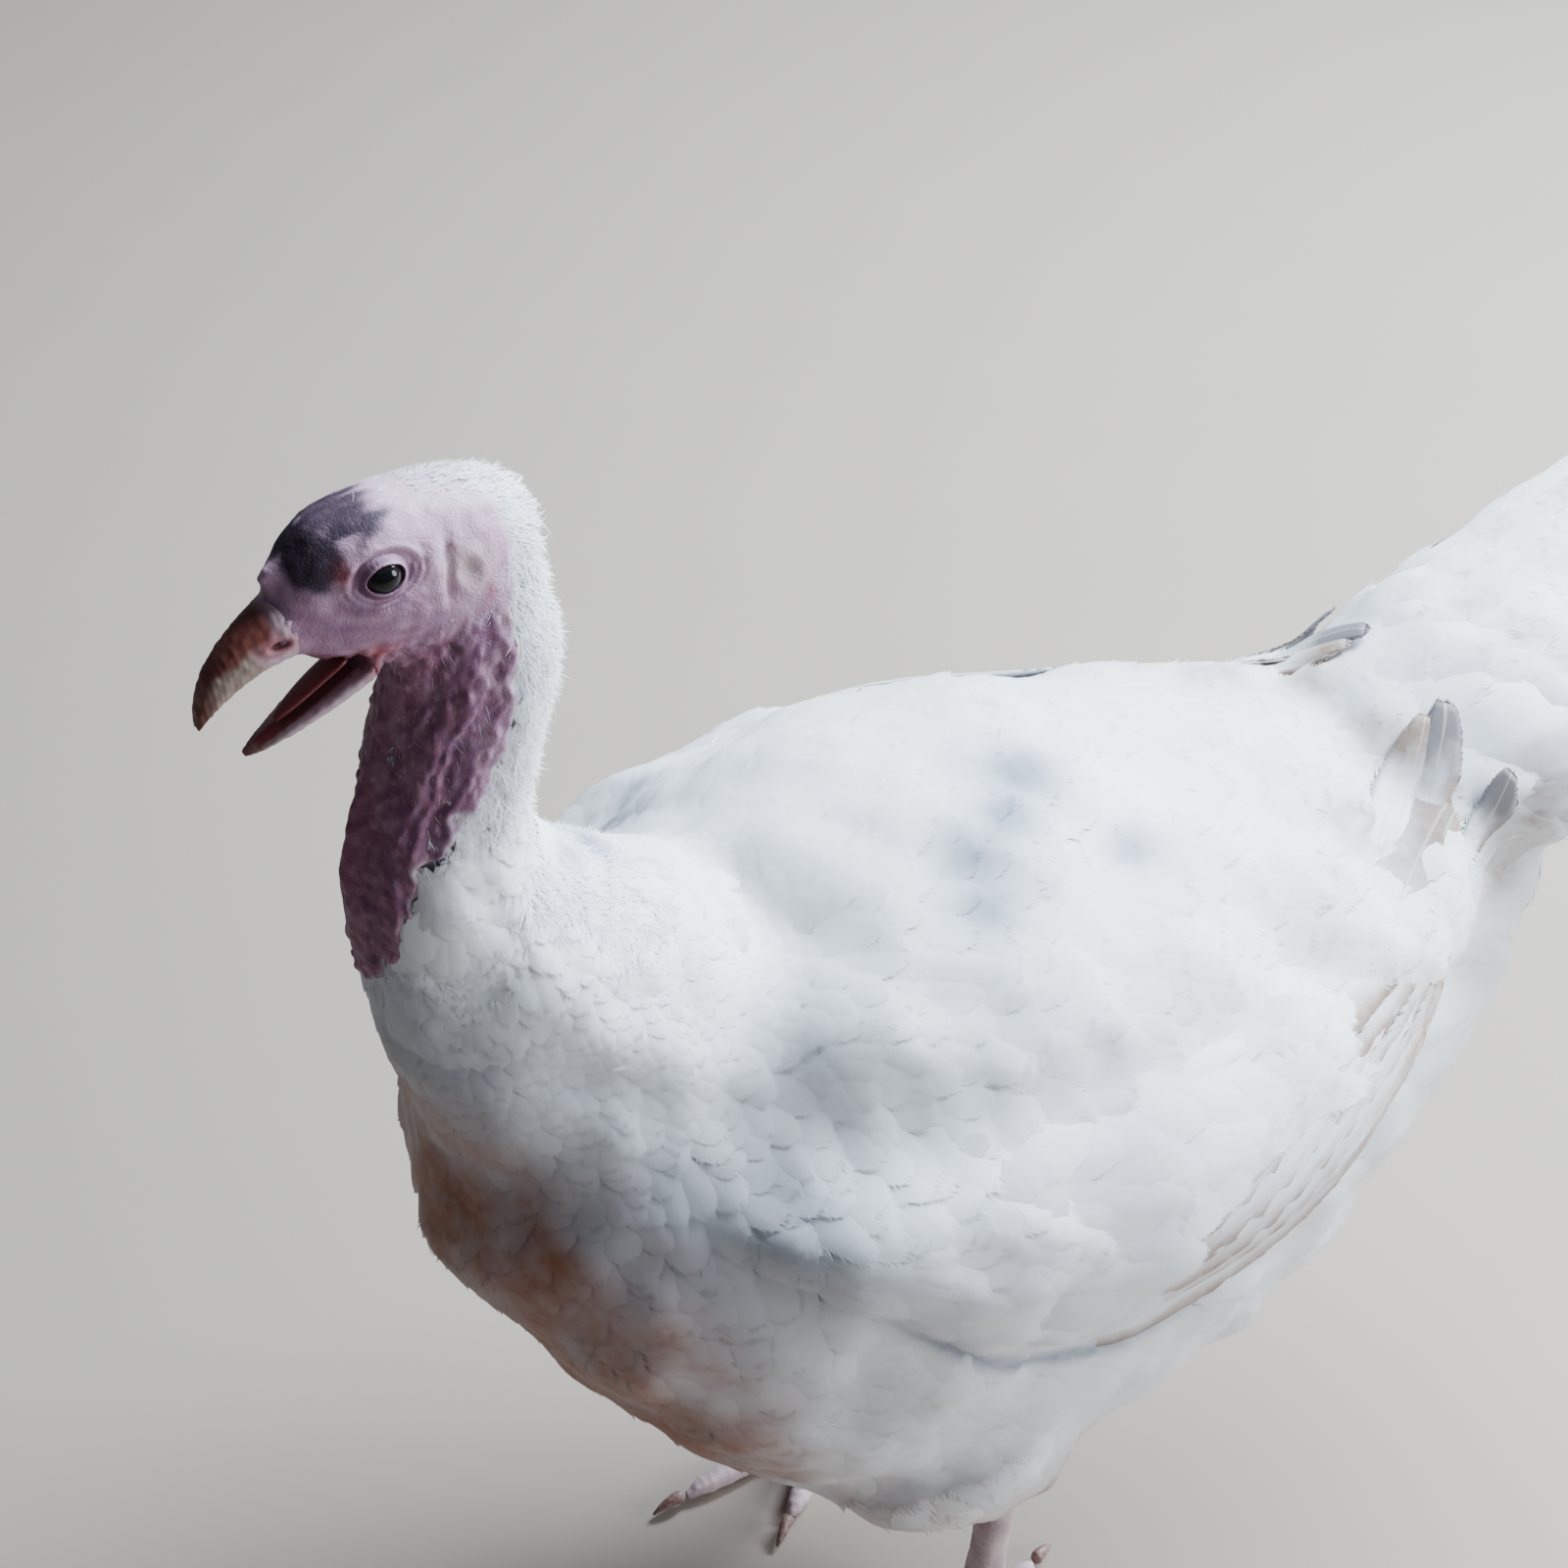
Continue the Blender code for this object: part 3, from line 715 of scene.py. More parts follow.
def wornness(points):
    """Tan stains over the rump beside the folded wings' tips."""
    return near_spots(folded(points), STAINS) * (0.55 + 0.25 * swell(points, 0.010, 15))


def partedness(points):
    """Where the feathers part, over the shoulders and in the crease under each wing's front; this mask also
    paints shade in the partings and a shadow along the crease.
    """
    x, y, z = points.T
    fall = np.interp(x, *CREASE) - z
    # Painted shadow along the crease under the folded wing's low edge.
    fold = hump(fall, 0.0015, 0.0045) * ramp(-0.190, -0.168, x)
    fold *= ramp(-0.03, -0.10, x) * ramp(0.07, 0.09, abs(y))
    return np.maximum(near_spots(points, PARTINGS), 0.9 * fold)


def painted_shade(points):
    """Painted shade between the feathers: in the partings and the crease under each wing, over the low front
    of the breast and neck, before each wing and low on the belly and thighs, with faint grey clouds at
    random.
    """
    x, y, z = points.T
    # Painted shade over the low front of the breast and the lower neck.
    front_shade = ramp(0.215, 0.130, z + x + 0.45 * abs(y) + 0.008 * swell(points, 0.03, 16))
    front_shade *= ramp(-0.185, -0.235, x) * ramp(0.475, 0.425, z)
    # Painted shade before each wing.
    shoulder_shade = near_spots(folded(points), (SHOULDER,))
    clouds = 0.05 * ramp(0.5, 1.4, swell(points, 0.055, 12))
    # Painted shade low on the belly and between the thighs.
    low = 0.60 * ramp(0.180, 0.132, z)
    return np.clip(most(clouds, partedness(points), 0.46 * front_shade, 0.40 * shoulder_shade, low), 0, 1)


# Partings in the back's feathers, painted with shade: X, Y, Z, radius.
PARTINGS = (
    (-0.073, -0.006, 0.421, 0.015),
    (-0.088, -0.022, 0.422, 0.012),
    (-0.108, -0.034, 0.420, 0.012),
    (-0.112, -0.050, 0.415, 0.012),
    (-0.050, -0.043, 0.409, 0.009),
    (-0.222, 0.009, 0.444, 0.009),
    (-0.236, -0.006, 0.455, 0.006),
    (-0.186, 0.070, 0.385, 0.012),
    (-0.166, 0.090, 0.372, 0.010),
)
# Stained places on the rump: X, distance from the middle, Z, radius.
STAINS = (
    (0.043, 0.043, 0.381, 0.014), (0.067, 0.019, 0.386, 0.012), (0.020, 0.060, 0.372, 0.011),
    (0.132, 0.012, 0.403, 0.011), (0.110, 0.059, 0.358, 0.018), (0.098, 0.063, 0.342, 0.014),
)
SHOULDER = (-0.208, 0.090, 0.350, 0.024)  # painted shade before each wing: X, distance aside, Z, radius
# The crease under the folded wing, along which a shadow is painted: X along it, and its height.
CREASE = (
    (-0.205, -0.195, -0.188, -0.173, -0.151, -0.129, -0.092, -0.049, 0.044),
    (0.356, 0.346, 0.335, 0.316, 0.294, 0.281, 0.264, 0.266, 0.296),
)


# ---- the skin

def skin_material(skin, coat):
    material, tree, shader = new_material(
        "turkey skin", 0.55, Subsurface_Weight=0.12, Subsurface_Radius=(0.004, 0.0015, 0.001),
        Subsurface_Scale=0.6, Specular_IOR_Level=0.25,
    )
    place = object_place(tree)
    lilac = mottled(tree, place, skin.face, (0.50, 0.30, 0.40), 0.35, 190.0)
    mauve = mottled(tree, place, skin.neck, skin.throat, 0.75, 210.0)
    legs = mottled(tree, place, skin.leg, (0.30, 0.22, 0.26), 0.6, 90.0)
    # The skin under the feathers takes a little painted shade, and earth with painted shade and bounce light
    # from the dirt mask.
    feathers = plumage(tree, coat, place, Dirt=mask_of(tree, "dirt"), Deep=0.15)
    colour = layered(
        tree, lilac["Color"], mauve=mauve["Color"], maroon=skin.throat, wart=(0.56, 0.36, 0.43),
        ear=skin.ear, dark=skin.brow, flush=skin.flush, leg=legs["Color"], plume=feathers["Color"],
    )
    rough = stretch(tree, lilac["Height"], 0.2, 0.9, 0.68, 0.52)
    wire(tree, shader, colour, rough, plus(tree, lilac["Height"], mauve["Height"]), 0.00018, 0.4)
    return material


def lids(spots, side, skin):
    """Lifts lids over the eyeball and sinks the skin behind it inside their opening."""
    view = eye_view(spots, side)
    across, upward, out = view.T
    ball = eye_radius() / MM
    reach = np.hypot(across, upward)
    half_length, half_height = skin.lid_width / MM / 2, skin.lid_height / MM / 2
    point = 1 + 0.10 * ramp(0.5, 1.0, abs(across) / half_length)  # drawn out into two corners
    ring = np.hypot(across / (half_length * point), upward / half_height)
    near = (out > 0) & (ring < 3.4) & (SIDES[side] * spots[:, 1] > 0)
    lid = skin.lid_thickness / MM * (1.0 + 0.35 * hump(ring, 1.08, 0.10))
    over = np.sqrt(np.maximum((ball + lid) ** 2 - reach**2, 0.0))
    sunk = np.sqrt(np.maximum((ball - 1.6) ** 2 - reach**2, 0.0))
    hold = ramp(2.15, 1.12, ring)
    level = out * (1 - hold) + np.maximum(over, out * 0.75) * hold
    upper = ramp(-0.2, 0.5, upward)
    level -= 0.55 * hump(ring, 1.60, 0.13) * upper
    level -= 0.34 * (hump(ring, 1.42, 0.09) + hump(ring, 1.78, 0.10) + hump(ring, 2.16, 0.12)) * (1 - upper)
    level += 0.35 * hump(ring, 1.98, 0.22) * upper
    inside = ramp(1.02, 0.93, ring)
    level = level * (1 - inside) + sunk * inside
    moved = np.stack((across, upward, np.where(near, level, out)), 1)
    change = (moved - view) @ eye_axes(side)
    return spots + change * near[:, None]


def face_relief(spots):
    """How far the face's skin stands out or in at each head-frame spot, in millimetres."""
    forward, aside, up = spots.T
    aside = abs(aside)
    on_side = ramp(6.0, 11.0, aside)
    brow = 0.8 * hump(forward, 6.0, 7.0) * hump(up, 15.0, 3.5)
    lore = -0.9 * hump(forward, 21.0, 4.5) * hump(up, 3.0, 5.0) * on_side
    cheek = 0.7 * hump(forward, 2.0, 7.0) * hump(up, -9.0, 5.0) * on_side
    behind_eye = -0.9 * hump(forward + 0.12 * up, -9.3, 1.1) + 0.6 * hump(forward, -5.6, 2.4)
    behind_eye *= on_side * ramp(-11.0, -5.0, up) * ramp(15.0, 8.0, up)
    ear_reach = np.hypot((forward + 15.6) / 1.0, (up + 0.5) / 1.35)
    ear = (-0.9 * hump(ear_reach, 0.0, 2.2) + 0.4 * hump(ear_reach, 4.2, 1.4)) * on_side
    jaw_line = up + 19.0 - 0.22 * (forward - 11.0)
    jaw = -0.9 * hump(jaw_line, 0.0, 1.2) * ramp(-14.0, -6.0, forward) * ramp(13.0, 9.0, forward)
    second = -0.5 * hump(jaw_line, -3.6, 1.0) * ramp(-16.0, -4.0, forward) * ramp(9.0, 5.0, forward)
    lips = 0.8 * hump(forward, 9.5, 2.2) * hump(up, -17.0, 2.6) * on_side
    return brow + lore + cheek + behind_eye + ear + jaw + second + lips


HEAD_VOXEL = 0.0022
TRUNK_VOXEL = 0.006
LEG_VOXEL = 0.0026
SHANK_SCUTE = 0.0042  # height of a scale down the shank's front
TOE_SCUTE = 0.0040  # length of one along a toe's top
TOE_PAD = 0.0085  # length of a pad under a toe
NECK_CUT = 0.408  # the fine skin ends here, inside the body's own
LEG_TOP = 0.128  # height where the scaled leg begins, below the feathers


def swollen(node, scale):
    """A copy of a solid, grown about its own middle, that plugs the hollow it sits in."""
    plug = joined_copy(node + "_plug", (node,))
    points = points_of(plug)
    middle = (points.min(0) + points.max(0)) / 2
    set_points(plug, middle + (points - middle) * scale)
    return plug


def head_skin(skin):
    """Head and neck at full detail: lids, folds, caruncles, dewlap and snood."""
    piece = joined_copy("head_skin", HEAD_NODES)
    join_into(piece, [swollen(f"eye_{side}", 1.03) for side in SIDES])
    edit(piece, lambda: bpy.ops.mesh.bisect(
        plane_co=(0.0, 0.0, NECK_CUT), plane_no=(0.0, 0.0, 1.0), use_fill=True, clear_inner=True))
    regrown(piece, HEAD_VOXEL, 5)
    join_into(piece, [bill_core("bill_upper"), bill_core("bill_lower")])
    regrown(piece, HEAD_VOXEL, 3)
    modified(piece, "SUBSURF", levels=1, render_levels=1)
    finer_at_eyes(piece)
    points, normals = shape_of(piece)
    z = points[:, 2]
    spots = in_head(points)
    bare = bareness(points)
    low = ramp(0.565, 0.545, z)
    around = round_neck(points)
    turn = np.radians(around)
    folds = 0.75 * np.sin(turn * 9 + 60 * z + 1.3 * swell(points, 0.03, 5))
    folds += 0.32 * np.sin(turn * 24 + 110 * z + 2.4 * swell(points, 0.013, 17))
    folds *= low * ramp(40, 70, around) * MM
    fine = (0.15 * swell(points, 0.0075, 6) + 0.05 * swell(points, 0.0035, 7)) * MM
    relief = face_relief(spots) * MM * (1 - low) + fine + folds
    relief += 0.38 * MM * swell(points, 0.0048, 8) * ramp(-17.0, -22.0, spots[:, 2]) * (1 - low)
    depth = (1 - bare) * np.interp(z, (0.38, 0.44, 0.52), (skin.coat_depth, 0.005, 0.0016))
    points = points + normals * (relief * bare - depth)[:, None]
    for side in SIDES:
        points = from_head(lids(in_head(points), side, skin))
    heights = skin.wart_height * wart_seats(skin.warts)[1] / LARGEST_WART
    set_points(piece, points + normals * wartiness(points, skin, heights, 1.2)[:, None])
    return piece


def bill_core(node):
    """The root of a bill half, grown a little, which the skin runs over before it tapers into the horn."""
    core = joined_copy(node + "_core", (node,))
    spots = in_head(points_of(core))
    low, high = spots[:, 0].min(), spots[:, 0].max()
    stations = np.linspace(low, high, 12)
    near = [spots[abs(spots[:, 0] - station) < 3.0, 1:] for station in stations]
    middles = np.array([(found.min(0) + found.max(0)) / 2 for found in near])
    ahead = np.minimum(spots[:, 0], low + 0.45 * (high - low))
    grown = np.interp((ahead - low) / (high - low), (0.0, 0.09, 0.18, 0.45), (1.06, 1.0, 0.80, 0.40))
    for axis in (1, 2):
        was = np.interp(spots[:, 0], stations, middles[:, axis - 1])
        now = np.interp(ahead, stations, middles[:, axis - 1])
        spots[:, axis] = now + (spots[:, axis] - was) * grown
    spots[:, 0] = ahead
    set_points(core, from_head(spots))
    return core


def join_into(piece, others):
    make_active(piece)
    for other in others:
        other.select_set(True)
    bpy.ops.object.join()
    return piece


def finer_at_eyes(piece):
    """Splits the faces round each eye so that the lids have a crisp rim."""
    for reach in (13.5, 8.6):  # millimetres from the middle of the eye
        make_active(piece)
        spots = in_head(points_of(piece))
        near = np.zeros(len(spots), bool)
        for side in SIDES:
            across, upward, out = eye_view(spots, side).T
            near |= (np.hypot(across, upward) < reach) & (out > 0)
        bpy.ops.object.mode_set(mode="EDIT")
        bpy.ops.mesh.select_all(action="DESELECT")
        bpy.ops.mesh.select_mode(type="VERT")
        bpy.ops.object.mode_set(mode="OBJECT")
        piece.data.vertices.foreach_set("select", near)
        bpy.ops.object.mode_set(mode="EDIT")
        bpy.ops.mesh.subdivide(number_cuts=1, smoothness=0.6)
        bpy.ops.object.mode_set(mode="OBJECT")


WART_STRETCH = 1.7
LARGEST_WART = 0.0022  # radius in metres of the warts that rise to the full height


@functools.cache
def wart_seats(amount):
    """Seeded places of the neck's warts, with their radii in metres."""
    places, _ = form_of("body").spread(
        even(0.0024), 31,
        lambda points, facing: (bareness(points) > 0.75) & (in_head(points)[:, 2] < -15.0)
        & (round_neck(points) > 52),
    )
    chance = seeded(32)
    order = chance.permutation(len(places))[:amount]
    weight = chance.uniform(0.15, 1.0, len(order)) ** 1.6
    return places[order], 0.0007 + 0.0014 * weight


def wartiness(points, skin, heights, power):
    """The most that any wart gives each point: its own height at its middle, falling off to its rim.

    A wart reaches farther up and down the neck than round it.
    """
    seats, radii = wart_seats(skin.warts)
    tree = search_tree(points)
    most = np.zeros(len(points))
    for seat, radius, height in zip(seats.tolist(), radii.tolist(), heights):
        middle, _, _ = tree.find(seat)
        for place, index, _ in tree.find_range(middle, radius * WART_STRETCH):
            offset = place - middle
            share = Vector((offset.x, offset.y, offset.z / WART_STRETCH)).length / radius
            if share < 1:
                most[index] = max(most[index], height * (1 - share**2) ** power)
    return most


def leg_skin(side):
    """Shank and toes with scutes down their fronts and pads under the toes."""
    piece = fused(f"leg_skin_{side}", LEG_NODES[side], LEG_VOXEL, 3)
    modified(piece, "SUBSURF", levels=1, render_levels=1)
    points, normals = shape_of(piece)
    x, y, z = points.T
    low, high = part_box(f"shank_{side}")
    ankle = low.z + 0.030
    steps = np.sin(z * math.tau / SHANK_SCUTE)
    front = ramp(0.15, 0.75, -normals[:, 0]) * ramp(ankle - 0.005, ankle + 0.005, z)
    away = np.hypot(x - (low.x + high.x) / 2, y - (low.y + high.y) / 2)
    rows = np.sin(away * math.tau / TOE_SCUTE)
    top = ramp(0.2, 0.8, normals[:, 2]) * ramp(ankle, ankle - 0.008, z)
    pads = 0.5 * np.sin(away * math.tau / TOE_PAD) * ramp(-0.2, -0.8, normals[:, 2])
    shape = 0.34 * ramp(-0.8, 0.5, steps) * front + 0.30 * ramp(-0.8, 0.5, rows) * top
    shape = shape + pads * ramp(0.006, 0.001, z) + 0.10 * swell(points, 0.0028, 41)
    points = points + normals * (shape * MM)[:, None]
    points[points[:, 2] < max(points[:, 2].min(), 0.0) + 0.0007, 2] = 0.0
    set_points(piece, points)
    return piece


def body_skin(skin):
    """Trunk, wing roots and thighs, sunk under the coat by its depth or less where they are thin."""
    piece = ease_fronts(fused("body_skin", ("trunk", "neck_lower", *THIGHS, *WINGS), TRUNK_VOXEL, 7))
    points, normals = shape_of(piece)
    tree = Form(piece).tree
    sink = np.empty(len(points))
    for index, (point, normal) in enumerate(zip(points, normals)):
        hit = tree.ray_cast(Vector(point - normal * 0.0005), Vector(-normal))[3]
        sink[index] = min(skin.coat_depth, 0.36 * (hit or skin.coat_depth))
    sink[points[:, 2] > 0.43] = 0.011  # here the neck's own finer skin covers it
    set_points(piece, points - normals * sink[:, None])
    return modified(piece, "SMOOTH", factor=0.5, iterations=2)


def lid_crease_shade(spots, skin):
    """Painted shade in the fine creases round and under each eye, and along the rim of its lids."""
    lines, rim = np.zeros((2, len(spots)))
    for side in SIDES:
        across, upward, out = eye_view(spots, side).T
        ring = np.hypot(across / skin.lid_width, upward / skin.lid_height) * 2 * MM
        facing = (out > 0) & (SIDES[side] * spots[:, 1] > 0)
        under = ramp(1.0, -1.5, upward) * facing
        below = hump(ring, 1.42, 0.14) + 0.9 * hump(ring, 1.78, 0.16) + 0.6 * hump(ring, 2.16, 0.2)
        lines += 0.75 * below * under + 0.35 * hump(ring, 1.60, 0.10) * facing * (1 - under)
        lines += (0.45 * hump(ring, 1.0, 0.09) + 0.75 * hump(ring, 1.30, 0.20)) * facing
        rim = np.maximum(rim, 0.22 * hump(ring, 1.26, 0.24) * facing)
    return lines, rim


def paint_skin(piece, skin):
    """Masks of the skin's zones, one number per vertex each."""
    points = points_of(piece)
    x, y, z = points.T
    spots = in_head(points)
    forward, aside, up = spots.T
    around = round_neck(points)
    beside = ramp(7, 11, abs(aside))
    legs = ramp(LEG_TOP, 0.120, z)
    uneven = swell(points, 0.012, 51)
    fine = swell(points * (0.5, 1.0, 1.0), 0.0055, 53)
    creases, rim = lid_crease_shade(spots, skin)
    behind_chin = 1 - ramp(10.0, 16.0, forward) * ramp(-36.0, -28.0, up)
    neck = ramp(-14.0, -25.0, up + 0.35 * forward + 2.5 * uneven) * behind_chin
    # Lilac shows through in cloudy streaks down the sides of the mauve neck.
    cloudy = ramp(-0.2, 0.9, swell(points * (1.0, 1.0, 0.45), 0.0075, 54))
    pale = ramp(118.0, 84.0, around) * neck * (0.12 + 0.42 * cloudy)
    # Painted shade laid on as mauve: over the lower face below and before the eye, and in the creases round
    # the eyes.
    cheek = ramp(7.0, -6.0, up - 0.25 * forward) * ramp(-17.0, -5.0, forward)
    mauve = most(neck, np.clip(creases, 0, 0.85), cheek * (0.60 + 0.16 * fine)) * (1 - pale)
    # Maroon down the throat, under the jaw and over the dewlap, and all through the mouth.
    throat = neck * (0.12 + 0.50 * ramp(110, 165, around + 14 * uneven)) * ramp(-18.0, -27.0, up)
    jaw = hump(forward, 0.0, 9.0) * hump(up, -25.0, 6.0) * 0.75
    dewlap_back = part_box("dewlap")[1].x
    dewlap = ramp(dewlap_back + 0.004, dewlap_back - 0.006, x)
    dewlap *= ramp(0.010, 0.006, abs(y)) * ramp(0.53, 0.52, z)
    mouth = ramp(12.5, 16.0, forward) * ramp(9.5, 7.5, abs(aside)) * ramp(-12.0, -15.0, up)
    maroon = np.clip(most(most(throat, jaw, dewlap * 0.9) * (1 - pale), mouth), 0, 1)
    # The dark forehead: its middle, its thinner veil and the streaks above it; painted shade on the lids' rim
    # and in the creases; and the lore.
    patch = np.hypot((forward - 24.5) / 8.5, (up - 14.5) / 9.0) + 0.12 * fine
    veil = np.hypot((forward - 15.0) / 13.0, (up - 25.0) / 8.0) + 0.16 * fine
    streaks = np.hypot((forward - 13.0) / 9.0, (up - 21.0) / 3.6) + 0.30 * fine
    dark = most(
        0.98 * ramp(1.30, 0.65, patch), 0.93 * ramp(1.25, 0.60, veil), 0.97 * ramp(1.20, 0.60, streaks),
        rim, 0.35 * np.clip(creases, 0, 1) * ramp(2.0, -4.0, up),
        0.45 * hump(forward, 21.0, 3.6) * hump(up, 7.0, 3.6),
    )
    # Red before the eye, at the mouth's corner and below it, and behind the ear.
    flush = most(
        hump(forward, 18.8, 2.6) * hump(up, 9.5, 3.8) * beside * 0.36,
        hump(forward, 11.5, 4.5) * hump(up, -18.0, 3.6) * 0.75,
        hump(forward, -21.0, 1.3) * hump(up, -8.5, 3.6) * beside * 0.5,
        0.55 * ramp(9.0, 12.0, forward) * (ramp(-15.0, -18.0, up) * ramp(-30.0, -25.0, up)),
    )
    ear = hump(np.hypot(forward + 14.5, up - 2.5), 0.0, 6.5) * beside * 0.7
    seats, _ = wart_seats(skin.warts)
    glow = seeded(52).uniform(0.05, 0.62, len(seats)) * (0.3 + 0.7 * ramp(160, 100, round_neck(seats)))
    dapple = ramp(-0.3, 0.9, swell(points * (1.0, 1.0, 0.5), 0.009, 55))
    wart = most(0.20 * ramp(105, 150, around) * neck * dapple, wartiness(points, skin, glow, 1.0))
    plume = np.clip(1 - bareness(points), 0, 1) * (1 - legs)
    thin = 0.12 * ramp(8.0, -6.0, forward) + 0.6 * ramp(-22.0, -36.0, forward)
    plume = np.where(up > -20, np.minimum(plume, thin), plume)
    # dirt carries earth, with painted shade and bounce light over the breast's front.
    set_masks(piece, mauve=mauve, maroon=maroon, wart=wart, ear=ear, dark=dark,
              flush=np.clip(flush * (1 - mouth), 0, 1), leg=legs, plume=plume, dirt=earth_and_bounce_light(points))


class TURKEY_OT_skin(bpy.types.Operator):
    """One skin over head, neck, trunk, wings and legs, with lids, folds, warts and scutes"""

    bl_idname = "turkey.skin"
    bl_label = "Skin"

    def execute(self, context):
        skin = context.scene.turkey_skin
        piece = body_skin(skin)
        for part in (head_skin(skin), leg_skin("left"), leg_skin("right")):
            modified(piece, "BOOLEAN", operation="UNION", solver="MANIFOLD", object=part)
            bpy.data.objects.remove(part)
        piece.name = "skin"
        smooth_shade(piece)
        paint_skin(piece, skin)
        nodes = (*HEAD_NODES, "trunk", *THIGHS, *LEG_NODES["left"], *LEG_NODES["right"])
        finish_piece(piece, skin_material(skin, context.scene.turkey_coat), "face_skin", *nodes)
        return {"FINISHED"}


# ---- eyes, bill, tongue and claws

class TURKEY_OT_eyes(bpy.types.Operator):
    """Eyeballs with a raised, wet cornea over a dark iris"""

    bl_idname = "turkey.eyes"
    bl_label = "Eyes"

    def execute(self, context):
        horn = context.scene.turkey_horn
        material = self.material(horn)
        for side in SIDES:
            deselect()
            bpy.ops.mesh.primitive_uv_sphere_add(segments=48, ring_count=32, radius=eye_radius() / MM)
            ball = bpy.context.view_layer.objects.active
            ball.name = f"eyeball_{side}"
            points = points_of(ball)
            slope = np.degrees(np.arccos(np.clip(unit(points)[:, 2], -1, 1)))
            bulge = 1 + horn.cornea_bulge / eye_radius() * ramp(44.0, 20.0, slope)
            set_points(ball, from_head(eye_middle(side) + points * bulge[:, None] @ eye_axes(side)))
            edit(ball, lambda: bpy.ops.mesh.normals_make_consistent(inside=False))
            set_masks(ball, slope=slope)
            smooth_shade(ball)
            finish_piece(ball, material, "eye", f"eye_{side}")
        return {"FINISHED"}

    def material(self, horn):
        """Pupil, iris and white, told apart by degrees from the gaze."""
        material, tree, shader = new_material("wet eye", 0.05, Specular_IOR_Level=0.35)
        slope = mask_of(tree, "slope")
        streaks = noise(tree, object_place(tree), 900.0, 2.0)
        iris = blend(tree, stretch(tree, streaks, 0.4, 0.7), horn.iris, (0.014, 0.010, 0.010))
        colour = blend(tree, stretch(tree, slope, 19.0, 21.0), (0.004, 0.004, 0.005), iris)
        colour = blend(tree, stretch(tree, slope, 41.0, 46.0), colour, (0.05, 0.035, 0.035))
        wire(tree, shader, colour)
        return material


def refined(name, nodes, levels):
    """A smooth copy of named solids, rounded from their own faces."""
    piece = joined_copy(name, nodes)
    edit(piece, lambda: bpy.ops.mesh.tris_convert_to_quads(
        face_threshold=math.radians(40), shape_threshold=math.radians(40)))
    modified(piece, "SUBSURF", levels=levels, render_levels=levels)
    smooth_shade(piece)
    return piece


